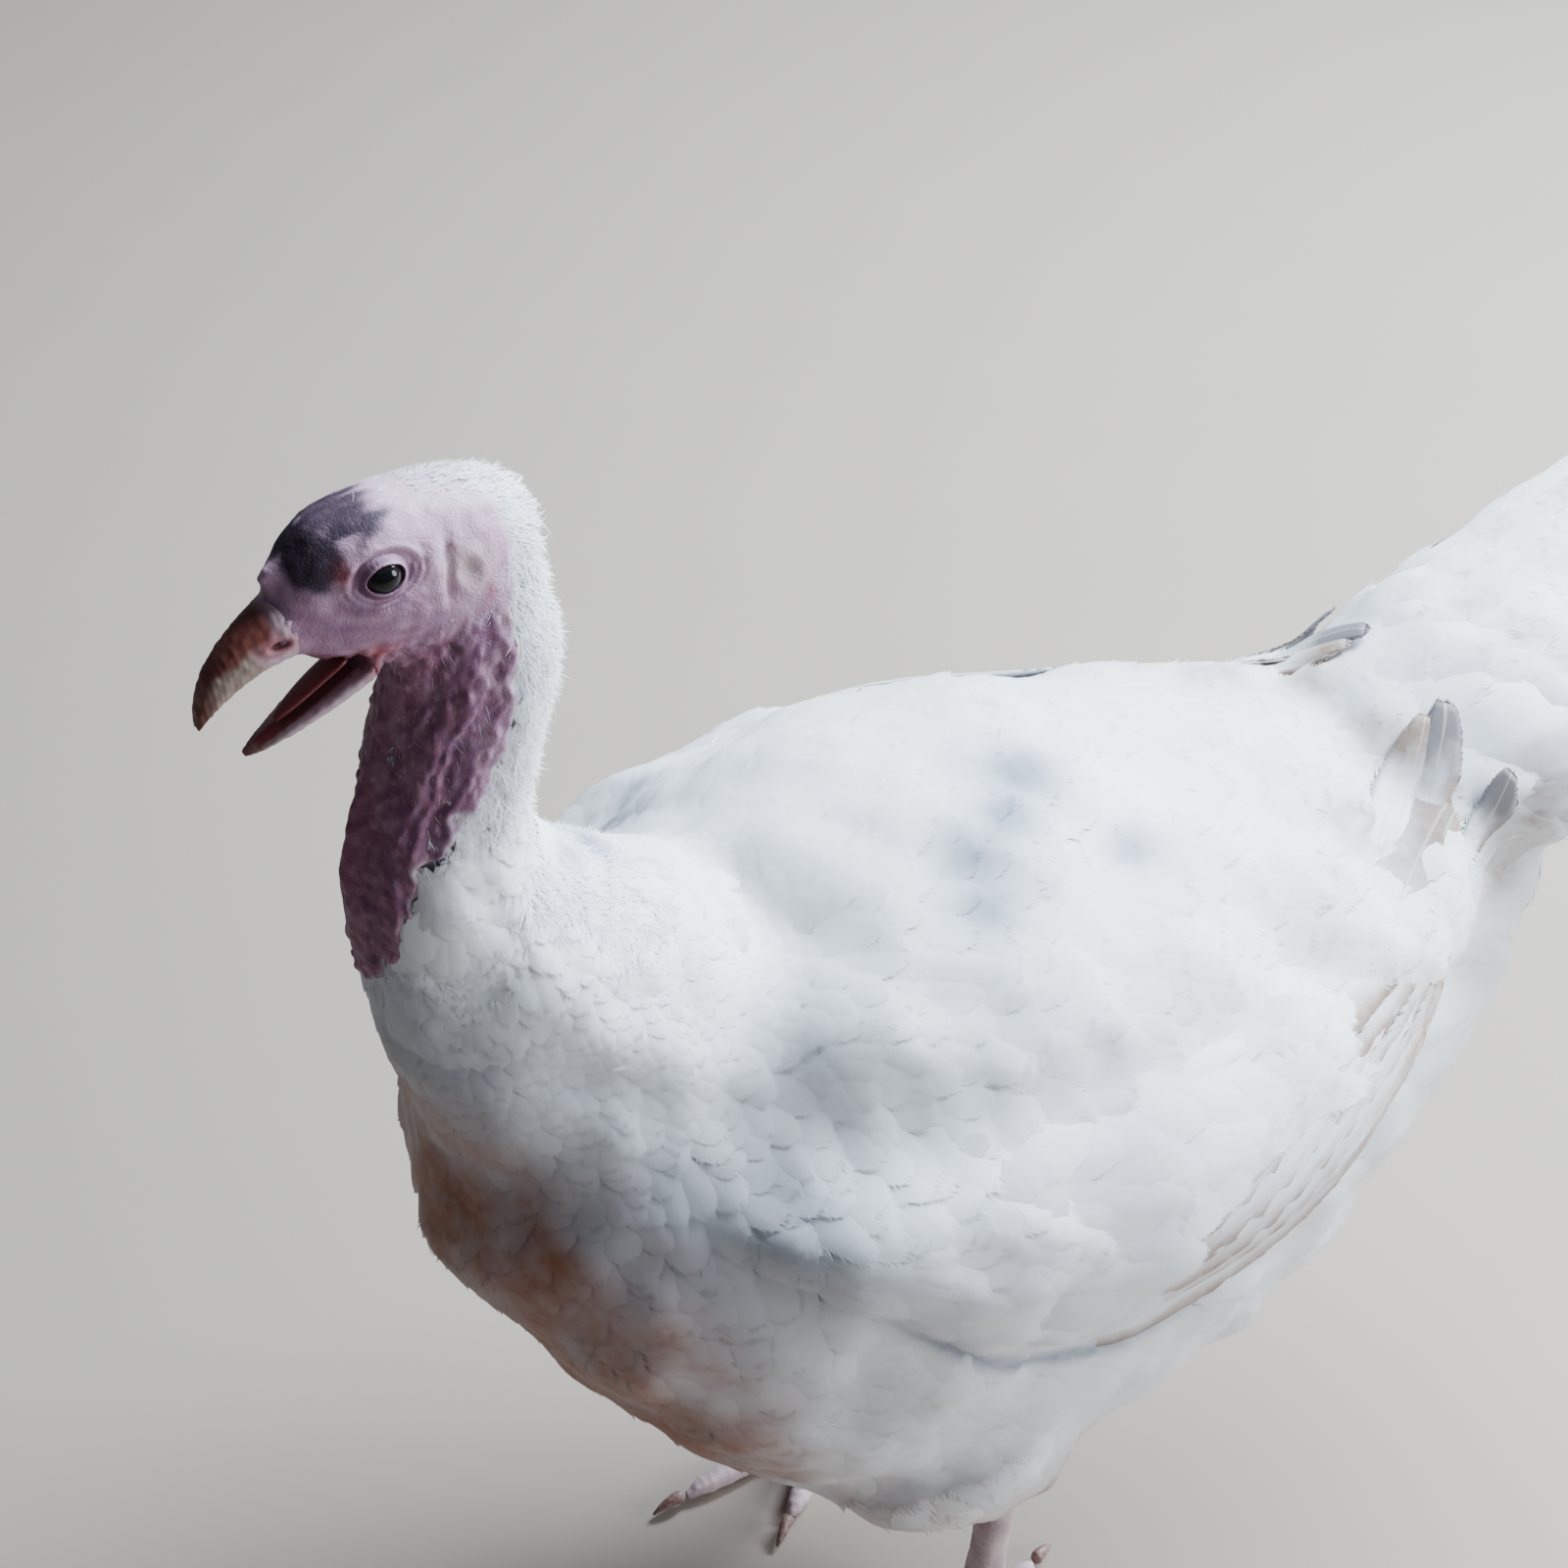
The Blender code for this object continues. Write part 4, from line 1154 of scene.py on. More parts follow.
class TURKEY_OT_bill(bpy.types.Operator):
    """Upper and lower bill with nostrils, ridge, lined mouth and tongue"""

    bl_idname = "turkey.bill"
    bl_label = "Bill and Tongue"

    def execute(self, context):
        horn = context.scene.turkey_horn
        material = self.material(horn)
        for node in ("bill_upper", "bill_lower"):
            piece = refined(node + "_horn", (node,), 3)
            points, normals = shape_of(piece)
            spots = in_head(points)
            forward, aside, up = spots.T
            low, high = forward.min(), forward.max()
            facing = normals @ head_axes()[1].T
            grown = (forward - low) / (high - low)
            stations = np.linspace(low, high, 14)
            near = [abs(forward - station) < 2.5 for station in stations]
            within = abs(aside) / np.interp(forward, stations, [abs(aside[here]).max() for here in near])
            swelling = 0.10 * swell(points, 0.004, 61) + 0.05 * np.sin(forward * 4.2)
            nostril = np.zeros(len(points))
            if node == "bill_upper":
                slot = np.hypot((forward - 38.3 + 0.5 * (up + 6)) / 2.5, (up + 6.0) / 1.15)
                beside = ramp(3.0, 4.5, abs(aside))
                # The nostril mask paints its opening dark red as the shade inside it, over a shallow slot
                # sunk into the horn.
                nostril = ramp(1.25, 0.65, slot) * beside
                swelling = swelling - 1.3 * nostril + 0.45 * hump(slot, 1.65, 0.4) * beside
                above = up - np.interp(forward, stations, [up[here].max() for here in near])
                band = np.interp(grown, (0.0, 0.35, 0.7, 1.0), (8.5, 7.5, 4.5, 3.0))
                ridge = ramp(-1.25, -0.75, (above + 0.7 * swell(points, 0.005, 63)) / band)
                ridge = np.maximum(ridge * ramp(0.08, 0.26, grown), ramp(0.72, 0.95, grown) * 0.8)
                inner = ramp(-0.35, -0.75, facing[:, 2]) * ramp(0.9, 0.7, grown) * ramp(0.84, 0.66, within)
                cere = ramp(0.50, 0.22, grown + 0.05 * swell(points, 0.006, 62))
                redness = 0.8 * ramp(3.6, 1.2, slot) * beside
            else:
                ridge = 0.7 * ramp(0.80, 1.0, grown)
                inner = ramp(0.25, 0.65, facing[:, 2] + 0.35 * facing[:, 0])
                inner *= ramp(0.96, 0.86, grown) * ramp(0.58, 0.36, within)
                cere = 0.8 * ramp(0.95, 0.55, grown)
                redness = 0.6 * ramp(0.22, 0.05, grown)
            set_points(piece, points + normals * (swelling * MM)[:, None])
            set_masks(piece, ridge=ridge, base=cere, redness=redness, nostril=nostril, inner=inner)
            finish_piece(piece, material, "bill_horn", node)
        tongue = refined("tongue_flesh", ("tongue",), 2)
        finish_piece(tongue, self.tongue_material(horn), "mouth_lining", "tongue")
        return {"FINISHED"}

    def material(self, horn):
        material, tree, shader = new_material("bill horn", 0.5, Specular_IOR_Level=0.3)
        streaks = noise(tree, object_place(tree), 420.0, 4.0, 0.6)
        worn = stretch(tree, streaks, 0.40, 0.70, 0.0, 0.35)
        colour = blend(tree, worn, horn.horn, (0.36, 0.25, 0.16))
        uneven = stretch(tree, streaks, 0.3, 0.7, 1.1, 0.8)
        base = times(tree, mask_of(tree, "base"), uneven, True)
        colour = blend(tree, base, colour, horn.base)
        # nostril paints the shade inside the nostril's opening.
        colour = layered(tree, colour, ridge=horn.ridge, redness=(0.30, 0.095, 0.10),
                         nostril=(0.10, 0.018, 0.020), inner=horn.mouth)
        wire(tree, shader, colour, stretch(tree, streaks, 0.2, 0.8, 0.60, 0.45), streaks, 0.0002, 0.4)
        return material

    def tongue_material(self, horn):
        material, tree, shader = new_material("tongue", 0.35)
        colours = mottled(tree, object_place(tree), (0.20, 0.04, 0.04), horn.mouth, 0.6, 500.0)
        wire(tree, shader, colours["Color"], None, colours["Height"], 0.0002, 0.6)
        return material


class TURKEY_OT_claws(bpy.types.Operator):
    """Curved, worn claws of both feet"""

    bl_idname = "turkey.claws"
    bl_label = "Claws"

    def execute(self, context):
        horn = context.scene.turkey_horn
        material, tree, shader = new_material("claw horn", 0.45)
        lines = noise(tree, object_place(tree), 500.0, 3.0)
        colour = blend(tree, stretch(tree, lines, 0.35, 0.7), horn.horn, horn.ridge)
        wire(tree, shader, colour, None, lines, 0.0002, 0.6)
        for side in SIDES:
            nodes = [f"claw_{side}_{toe}" for toe in TOES]
            finish_piece(refined(f"claws_{side}", nodes, 2), material, "claw_horn", *nodes)
        return {"FINISHED"}


# ---- feathers: patterns and planting

class Pattern:
    """One feather, laid flat: its length, its width, and how it sinks to its root, rises and cups."""

    def __init__(self, along, across, sink, rise, cup, fringe, quads, triangles):
        self.along, self.across, self.sink = along, across, sink
        self.rise, self.cup, self.fringe = rise, cup, fringe
        self.quads, self.triangles = quads, triangles
        flat = np.stack((along, across), 1)
        self.blade = np.concatenate((flat, fringe @ flat)) if len(fringe) else flat

    def size(self):
        return len(self.blade)


def vane(rows, columns, shape, fray, seed, teeth=(6, 4), first_tooth=3):
    """A cupped blade whose sides and tip part into barbs.

    shape gives half width at each share of length, and teeth the barbs at each step of the sides and of
    the tip. The sides part from the row first_tooth on.
    """
    chance = seeded(seed)
    u = np.repeat(rows, len(columns))
    v = np.tile(columns, len(rows))
    half = shape(u)
    wide = len(columns)

    def spot(row, column):
        return row * wide + column

    quads = [
        (spot(r, c), spot(r + 1, c), spot(r + 1, c + 1), spot(r, c + 1))
        for r in range(len(rows) - 1) for c in range(wide - 1)
    ]
    last = len(rows) - 1
    at_side, at_tip = teeth
    left = [(r, 0, r - 1, 1) for r in range(first_tooth, last + 1)]
    tip = [(last, c, last - 1, c) for c in range(wide)]
    right = [(r, wide - 1, r - 1, wide - 2) for r in range(last, first_tooth - 1, -1)]
    edges = (left, 0.55, at_side), (tip, 1.0, at_tip), (right, 0.55, at_side)
    rim = [(*pair, reach, count) for path, reach, count in edges for pair in zip(path, path[1:])]
    weights, triangles = [], []
    for one, other, reach, count_here in rim:
        start, inner_start = spot(*one[:2]), spot(*one[2:])
        end, inner_end = spot(*other[:2]), spot(*other[2:])
        for tooth in range(count_here):
            near, far = tooth / count_here, (tooth + 1) / count_here
            middle = (near + far) / 2 + chance.uniform(-0.6, 0.6) / count_here
            stick = fray * reach * chance.uniform(0.45, 1.5)
            count = len(u) + len(weights)
            for share, pull in ((near, 0.0), (far, 0.0), (middle, stick)):
                row = np.zeros(len(u))
                row[start] += (1 - share) * (1 + pull)
                row[end] += share * (1 + pull)
                row[inner_start] -= (1 - share) * pull
                row[inner_end] -= share * pull
                weights.append(row)
            triangles.append((count, count + 2, count + 1))
    rise = np.sin(np.pi * 0.62 * u**1.2) ** 1.3
    return Pattern(u, v * half, (1 - u) ** 1.3, rise, -0.16 * (v * half) ** 2, np.array(weights),
                   np.array(quads), np.array(triangles))


def tuft(strands, spread, curl, thin, seed):
    """A tuft of down: tapering strands fanned out from one root, each of pairs of points and a tip."""
    chance = seeded(seed)
    steps = 3
    along, across, rise, quads, triangles = [], [], [], [], []
    share = np.repeat(np.arange(steps + 1), 2)[:-1] / steps
    edge = thin * (1 - share) ** 0.7 * np.tile((-1, 1), steps + 1)[:-1]
    for strand in range(strands):
        fan = spread * ((strand + 0.5) / strands * 2 - 1) + chance.uniform(-0.12, 0.12)
        reach = chance.uniform(0.65, 1.0) * share
        angle = fan + chance.uniform(-curl, curl) * share
        along.append(reach * np.cos(angle) - edge * np.sin(angle))
        across.append(reach * np.sin(angle) + edge * np.cos(angle))
        rise.append(chance.uniform(0.5, 1.3) * share)
        root = strand * len(share)
        quads += [(root + k, root + k + 2, root + k + 3, root + k + 1) for k in range(0, 2 * steps - 2, 2)]
        last = root + 2 * (steps - 1)
        triangles.append((last, last + 2, last + 1))
    along, across, rise = map(np.concatenate, (along, across, rise))
    return Pattern(along, across, np.maximum(1 - 1.6 * along, 0), rise, np.zeros(len(along)),
                   np.zeros((0, len(along))), np.array(quads), np.array(triangles))


def soft_blade(u):
    """Half width of a body feather: narrow at the root, broad in the middle, round at the tip."""
    return 0.34 + 0.66 * np.sin(np.pi * np.clip(u, 0, 1) ** 0.9)


SOFT_ROWS = np.array((0.0, 0.26, 0.50, 0.72, 0.88, 1.0))
SOFT_COLUMNS = np.array((-1.0, -0.5, 0.0, 0.5, 1.0))


@functools.cache
def patterns(kind):
    """Several seeded versions of one kind of feather."""
    makers = {
        "contour": lambda seed: vane(SOFT_ROWS, SOFT_COLUMNS, soft_blade, 0.60, seed),
        "fluffy": lambda seed: vane(SOFT_ROWS, SOFT_COLUMNS, soft_blade, 0.80, seed, (7, 4), 2),
        "covert": lambda seed: vane(SOFT_ROWS, SOFT_COLUMNS, soft_blade, 0.35, seed, (5, 3)),
        "down": lambda seed: tuft(6, 0.55, 0.5, 0.028, seed),
        "tertial": stiff,
        "bristle": lambda seed: tuft(1, 0.10, 0.35, 0.011, seed),
    }
    return [makers[kind](seed) for seed in range(6)]


class Coat:
    """Feathers gathered for one piece: their points, faces, patches on the unwrap and masks."""

    def __init__(self, name, softness=0.6, lumps=()):
        self.name, self.softness, self.lumps = name, softness, lumps
        self.points, self.facing, self.quads, self.triangles = [], [], [], []
        self.blade, self.patch, self.masks = [], [], []
        self.count = 0

    def plant(self, kind, form, roots, facing, along, sizes, unwrap, masks, seed):
        """Lays one kind of feather at every root, but none that would be torn between two surfaces.

        Each size is a length, half width, root depth and lift.
        """
        length, half_width, depth, lift = (np.broadcast_to(s, len(roots)) for s in sizes)
        along = unit(along - facing * (along * facing).sum(1)[:, None])
        side = np.cross(facing, along)
        chance = seeded(seed)
        choice = chance.integers(0, len(patterns(kind)), len(roots))
        for index, pattern in enumerate(patterns(kind)):
            here = choice == index
            if not here.any():
                continue
            forward = length[here, None] * pattern.along
            across = half_width[here, None] * pattern.across
            flat = (roots[here, None] + along[here, None] * forward[..., None]
                    + side[here, None] * across[..., None])
            landed, normal = form.land(flat.reshape(-1, 3))
            steps = np.linalg.norm(np.diff(landed.reshape(flat.shape), axis=1), axis=2)
            whole = (steps < MOST_TEAR + 2.0 * np.linalg.norm(np.diff(flat, axis=1), axis=2)).all(1)
            height = (lift[here, None] * pattern.rise - depth[here, None] * pattern.sink
                      + half_width[here, None] * pattern.cup)
            slope = np.zeros_like(landed)
            for rise, size, mark in self.lumps:
                height = height + rise * swell(landed, size, mark).reshape(height.shape)
                slope = slope + rise * swell_slope(landed, size, mark)
            points = landed.reshape(flat.shape) + normal.reshape(flat.shape) * height[..., None]
            soft = unit(normal - slope).reshape(flat.shape)
            self.gather(points[whole], soft[whole], pattern, unwrap[here][whole], masks[here][whole])

    def gather(self, points, soft, pattern, unwrap, masks):
        """Adds feathers given by their blades' points and the facing of the coat as a whole there."""
        if len(pattern.fringe):
            barbs = np.einsum("mk,nkc->nmc", pattern.fringe, points)
            turned = np.einsum("mk,nkc->nmc", pattern.fringe, soft)
            points, soft = np.concatenate((points, barbs), 1), np.concatenate((soft, turned), 1)
        feathers = len(points)
        starts = self.count + np.arange(feathers)[:, None, None] * pattern.size()
        self.points.append(points.reshape(-1, 3))
        self.facing.append(unit(soft.reshape(-1, 3)))
        self.quads.append((starts + pattern.quads).reshape(-1, 4))
        self.triangles.append((starts + pattern.triangles).reshape(-1, 3))
        self.blade.append(np.tile(pattern.blade, (feathers, 1)))
        self.patch.append(np.repeat(unwrap, pattern.size(), 0))
        self.masks.append(np.repeat(masks, pattern.size(), 0))
        self.count += feathers * pattern.size()

    def weave(self):
        """One mesh object from all the gathered feathers."""
        mesh = bpy.data.meshes.new(self.name)
        points = np.concatenate(self.points)
        quads, triangles = np.concatenate(self.quads), np.concatenate(self.triangles)
        corners = np.concatenate((quads.ravel(), triangles.ravel())).astype(np.int32)
        starts = np.concatenate((np.arange(len(quads)) * 4, len(quads) * 4 + np.arange(len(triangles)) * 3))
        for parts, key, values in ((mesh.vertices, "co", points.astype(np.float32)),
                                   (mesh.loops, "vertex_index", corners),
                                   (mesh.polygons, "loop_start", starts.astype(np.int32))):
            parts.add(len(values))
            parts.foreach_set(key, values.ravel())
        mesh.update(calc_edges=True)
        mesh.polygons.foreach_set("use_smooth", np.ones(len(starts), bool))
        piece = placed(self.name, mesh)
        blade, patch = np.concatenate(self.blade), np.concatenate(self.patch)
        across = blade * (1.0, 0.5) - (0.5, 0.0)
        for name, flat in (("OFBake", patch + PATCH * np.clip(across, -0.5, 0.5)), ("blade", blade)):
            layer = mesh.uv_layers.new(name=name)
            layer.data.foreach_set("uv", flat[corners].astype(np.float32).ravel())
        masks = np.concatenate(self.masks)
        masks[:, 1] = np.maximum(masks[:, 1], wornness(points))
        # The last two masks: earth with painted shade and bounce light, and painted shade.
        set_masks(piece, **dict(zip(MASKS, (*masks.T, earth_and_bounce_light(points), painted_shade(points)))))
        self.soften(piece)
        return piece

    def finish(self, slot, *nodes):
        finish_piece(self.weave(), feather_material(), slot, *nodes)

    def soften(self, piece):
        """Turns each point's shading part of the way to the coat's own facing, as down scatters light."""
        own, soft = shape_of(piece)[1], np.concatenate(self.facing)
        own *= np.sign((own * soft).sum(1, keepdims=True))
        turned = unit(own * (1 - self.softness) + soft * self.softness)
        piece.data.normals_split_custom_set_from_vertices(turned.astype(np.float32))


PATCH = 0.003
MOST_TEAR = 0.003  # how much farther apart two neighbouring points of a feather may land, in metres
# deep holds painted shade, and dirt holds real earth with painted shade and bounce light over the breast's
# front.
MASKS = ("tone", "stain", "slate", "dirt", "deep")


def masks_for(points, seed, stain=0.0, slate=0.0):
    """Tone, stain and slate of each feather from its root's place."""
    count = len(points)
    tone = np.clip(seeded(seed).normal(0.30, 0.22, count), 0, 1)
    return np.stack((tone, np.broadcast_to(stain, count), np.broadcast_to(slate, count)), 1)


def along_blade(tree):
    """A place on a feather's own blade, and the same parted into X along it and Y across it."""
    blade = add(tree, "UVMap", uv_map="blade").outputs["UV"]
    return blade, add(tree, "SeparateXYZ", {0: blade}).outputs


def barbs(tree, parts, lean, count, depth, over):
    """Height of barbs that slant back from the shaft, laid over another height."""
    slant = maths(tree, "SUBTRACT", parts["X"], times(tree, maths(tree, "ABSOLUTE", parts["Y"]), lean))
    return plus(tree, times(tree, maths(tree, "SINE", times(tree, slant, count)), depth), over)


@functools.cache
def feather_material():
    """White vane with barbs raised across its blade."""
    coat = bpy.context.scene.turkey_coat
    material, tree, shader = new_material(
        "white feather", 0.7, Sheen_Weight=0.25, Sheen_Roughness=0.5, Specular_IOR_Level=0.25
    )
    blade, parts = along_blade(tree)
    # The deep mask lays painted shade, and the dirt mask earth with painted shade and bounce light.
    masks = {name.title(): mask_of(tree, name) for name in MASKS}
    masks["Slate"] = times(tree, masks["Slate"], stretch(tree, parts["X"], 0.50, 0.88))
    colours = plumage(tree, coat, object_place(tree), **masks)
    height = barbs(tree, parts, 0.35, 640.0, 0.5, noise(tree, blade, 14.0, 2.0))
    wire(tree, shader, colours["Color"], colours["Roughness"], height, 0.00015, 0.25)
    return material


# ---- body, neck and head coat

TRUNK_AXIS = 0.285  # height of the line that the coat is unwrapped round


def trunk_angle(points):
    """Degrees round the trunk from straight up, positive on its left."""
    return np.degrees(np.arctan2(-points[:, 1], points[:, 2] - TRUNK_AXIS))


def trunk_unwrap(points):
    """Along the trunk and neck, and round them, as shares of a square."""
    x, _, z = points.T
    low, high = CAD_BOX
    share = (x * 0.8 - (z - 0.3) * ramp(0.36, 0.46, z) - low.x - 0.02) / (high.x - low.x)
    return np.stack((0.03 + 0.94 * np.clip(share, 0, 1), 0.5 + trunk_angle(points) / 380.0), 1)


def neck_unwrap(points):
    """Round the neck and head, and up them, as shares of a square."""
    low, high = 0.36, CAD_BOX[1].z + 0.01
    upward = np.clip((points[:, 2] - low) / (high - low), 0, 1)
    return np.stack((0.5 + 0.96 * (neck_turn(points) / (math.tau)), 0.02 + 0.96 * upward), 1)


NECK_ROOT = np.array((-0.330, 0.0, 0.500))  # the back's feathers all point away from here


def lie(points, seed):
    """Which way the feathers point: back from the neck's root over the trunk, down the neck and thighs."""
    x, _, z = points.T
    on_neck = ramp(0.405, 0.450, z) * ramp(-0.17, -0.20, x)
    on_thigh = thighness(points)
    flow = unit(points - NECK_ROOT) * (1 - on_neck - on_thigh)[:, None]
    for steep, here in (((0.10, 0.0, -1.0), on_neck), ((0.25, 0.0, -1.0), on_thigh)):
        flow = flow + np.array(steep) * here[:, None]
    bend = 0.22 * swell(points, 0.09, seed) + 0.12 * swell(points, 0.035, seed + 1)
    bend = bend + seeded(seed + 2).normal(0, 0.10, len(points))
    aside = np.cross(flow, np.array((0.0, 1.0, 0.35)))
    return unit(flow) + unit(aside) * bend[:, None]


def thighness(points):
    """1 on the thighs below the flank, 0 on the trunk."""
    x, y, z = points.T
    low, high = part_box("thigh_left")
    beside = ramp(low.x - 0.01, low.x + 0.01, x) * ramp(high.x + 0.01, high.x - 0.01, x)
    return beside * ramp(0.020, 0.034, abs(y)) * ramp(0.195, 0.165, z)


def body_scale(points):
    """Size of the feathers against those of the back: small at the neck and on the thighs."""
    x, _, z = points.T
    low_neck = ramp(0.335, 0.43, z) * ramp(-0.14, -0.21, x)
    return (1 - 0.52 * low_neck) * (1 - 0.14 * ramp(-0.10, -0.28, x)) * (1 - 0.40 * thighness(points))


WING_AXIS = 0.280  # height of the trunk's middle line, which the wings wrap round


def wing_angle(points):
    """How far up round the trunk each point lies, in radians from level, the same on both sides."""
    return np.arctan2(points[:, 2] - WING_AXIS, abs(points[:, 1]))


@functools.cache
def wing_span(side):
    """Stations along a folded wing with the lowest and highest angle that it covers at each."""
    points = form_of(side).points
    x, angle = points[:, 0], wing_angle(points)
    stations = np.linspace(x.min() + 0.006, x.max() - 0.004, 40)
    near = [angle[abs(x - station) < 0.010] for station in stations]
    edges = ([found.min() for found in near], [found.max() for found in near])
    low, high = (np.convolve(np.pad(edge, 2, "edge"), np.ones(5) / 5, "valid") for edge in edges)
    return stations, low, high


def over_wing(points):
    """How far inside a wing's outline each point lies, as shares: along, and up from the low edge."""
    x, y, _ = points.T
    along, up = np.full((2, len(points)), -1.0)
    for side in SIDES:
        here = SIDES[side] * y < 0
        stations, low, high = wing_span(side)
        low, high = np.interp(x, stations, low), np.interp(x, stations, high)
        along = np.where(here, (x - stations[0]) / (stations[-1] - stations[0]), along)
        up = np.where(here, (wing_angle(points) - low) / (high - low), up)
    return along, up


BODY_LUMPS = ((0.0017, 0.055, 75), (0.0004, 0.024, 76))  # height, breadth and seed of the coat's swells
BODY_COATS = ("coat_back", "coat_breast", "coat_belly", "coat_flank_left", "coat_flank_right")


def body_piece(points):
    """Number in BODY_COATS of the piece that a feather belongs to."""
    angle = trunk_angle(points)
    piece = np.select((abs(angle) > 135, abs(angle) < 62, angle > 0), (2, 0, 3), 4)
    return np.where((points[:, 0] < -0.215) & (points[:, 2] > 0.22), 1, piece)


class TURKEY_OT_body_coat(bpy.types.Operator):
    """Soft contour feathers over back, breast, belly, flanks and thighs"""

    bl_idname = "turkey.body_coat"
    bl_label = "Body Feathers"

    def execute(self, context):
        coat = context.scene.turkey_coat
        tail_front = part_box("tail")[0].x

        def free(points, facing):
            x, _, z = points.T
            along, up = over_wing(points)
            above_crease = z > np.interp(x, *CREASE) + 0.003
            top = np.interp(along, (0.45, 0.62, 0.78, 0.92), (0.80, 0.86, 0.96, 1.05))
            bottom = np.interp(along, (0.26, 0.41, 0.75, 0.88, 0.97), (-0.02, -0.20, -0.16, -0.16, -0.05))
            hidden = (along > 0.26) & (along < 0.97) & above_crease & (up > bottom) & (up < top)
            inside_tail = x > tail_front + 0.030
            landed, _ = form_of("tail").land(points[inside_tail])
            inside_tail[inside_tail] = np.linalg.norm(landed - points[inside_tail], axis=1) < 0.003
            return ~(hidden | inside_tail) & (z > LEG_TOP) & (z < 0.470) & (bareness(points) < 0.55)

        form = form_of("bird")
        roots, facing = form.spread(lambda p: coat.spacing * body_scale(p), 71, free)
        scale = body_scale(roots)
        flow = lie(roots, 72)
        chance = seeded(77)
        lift = 0.0013 * scale - 0.0040 * partedness(roots)
        length = coat.length * scale * chance.uniform(0.85, 1.12, len(roots))
        half_width = coat.half_width * scale * chance.uniform(0.85, 1.1, len(roots))
        fluffy = (roots[:, 2] < 0.20) | (thighness(roots) > 0.4) | (chance.random(len(roots)) < 0.4)
        masks = masks_for(roots, 78)
        unwrap = trunk_unwrap(roots)
        number = body_piece(roots)
        for index, name in enumerate(BODY_COATS):
            made = Coat(name, coat.softness, BODY_LUMPS)
            for kind, hairy in (("contour", False), ("fluffy", True)):
                here = (number == index) & (fluffy == hairy)
                sizes = (length[here], half_width[here], coat.depth * scale[here], lift[here])
                made.plant(kind, form, roots[here], facing[here], flow[here], sizes,
                           unwrap[here], masks[here], 79 + index)
            made.finish("body_feathers")
        return {"FINISHED"}


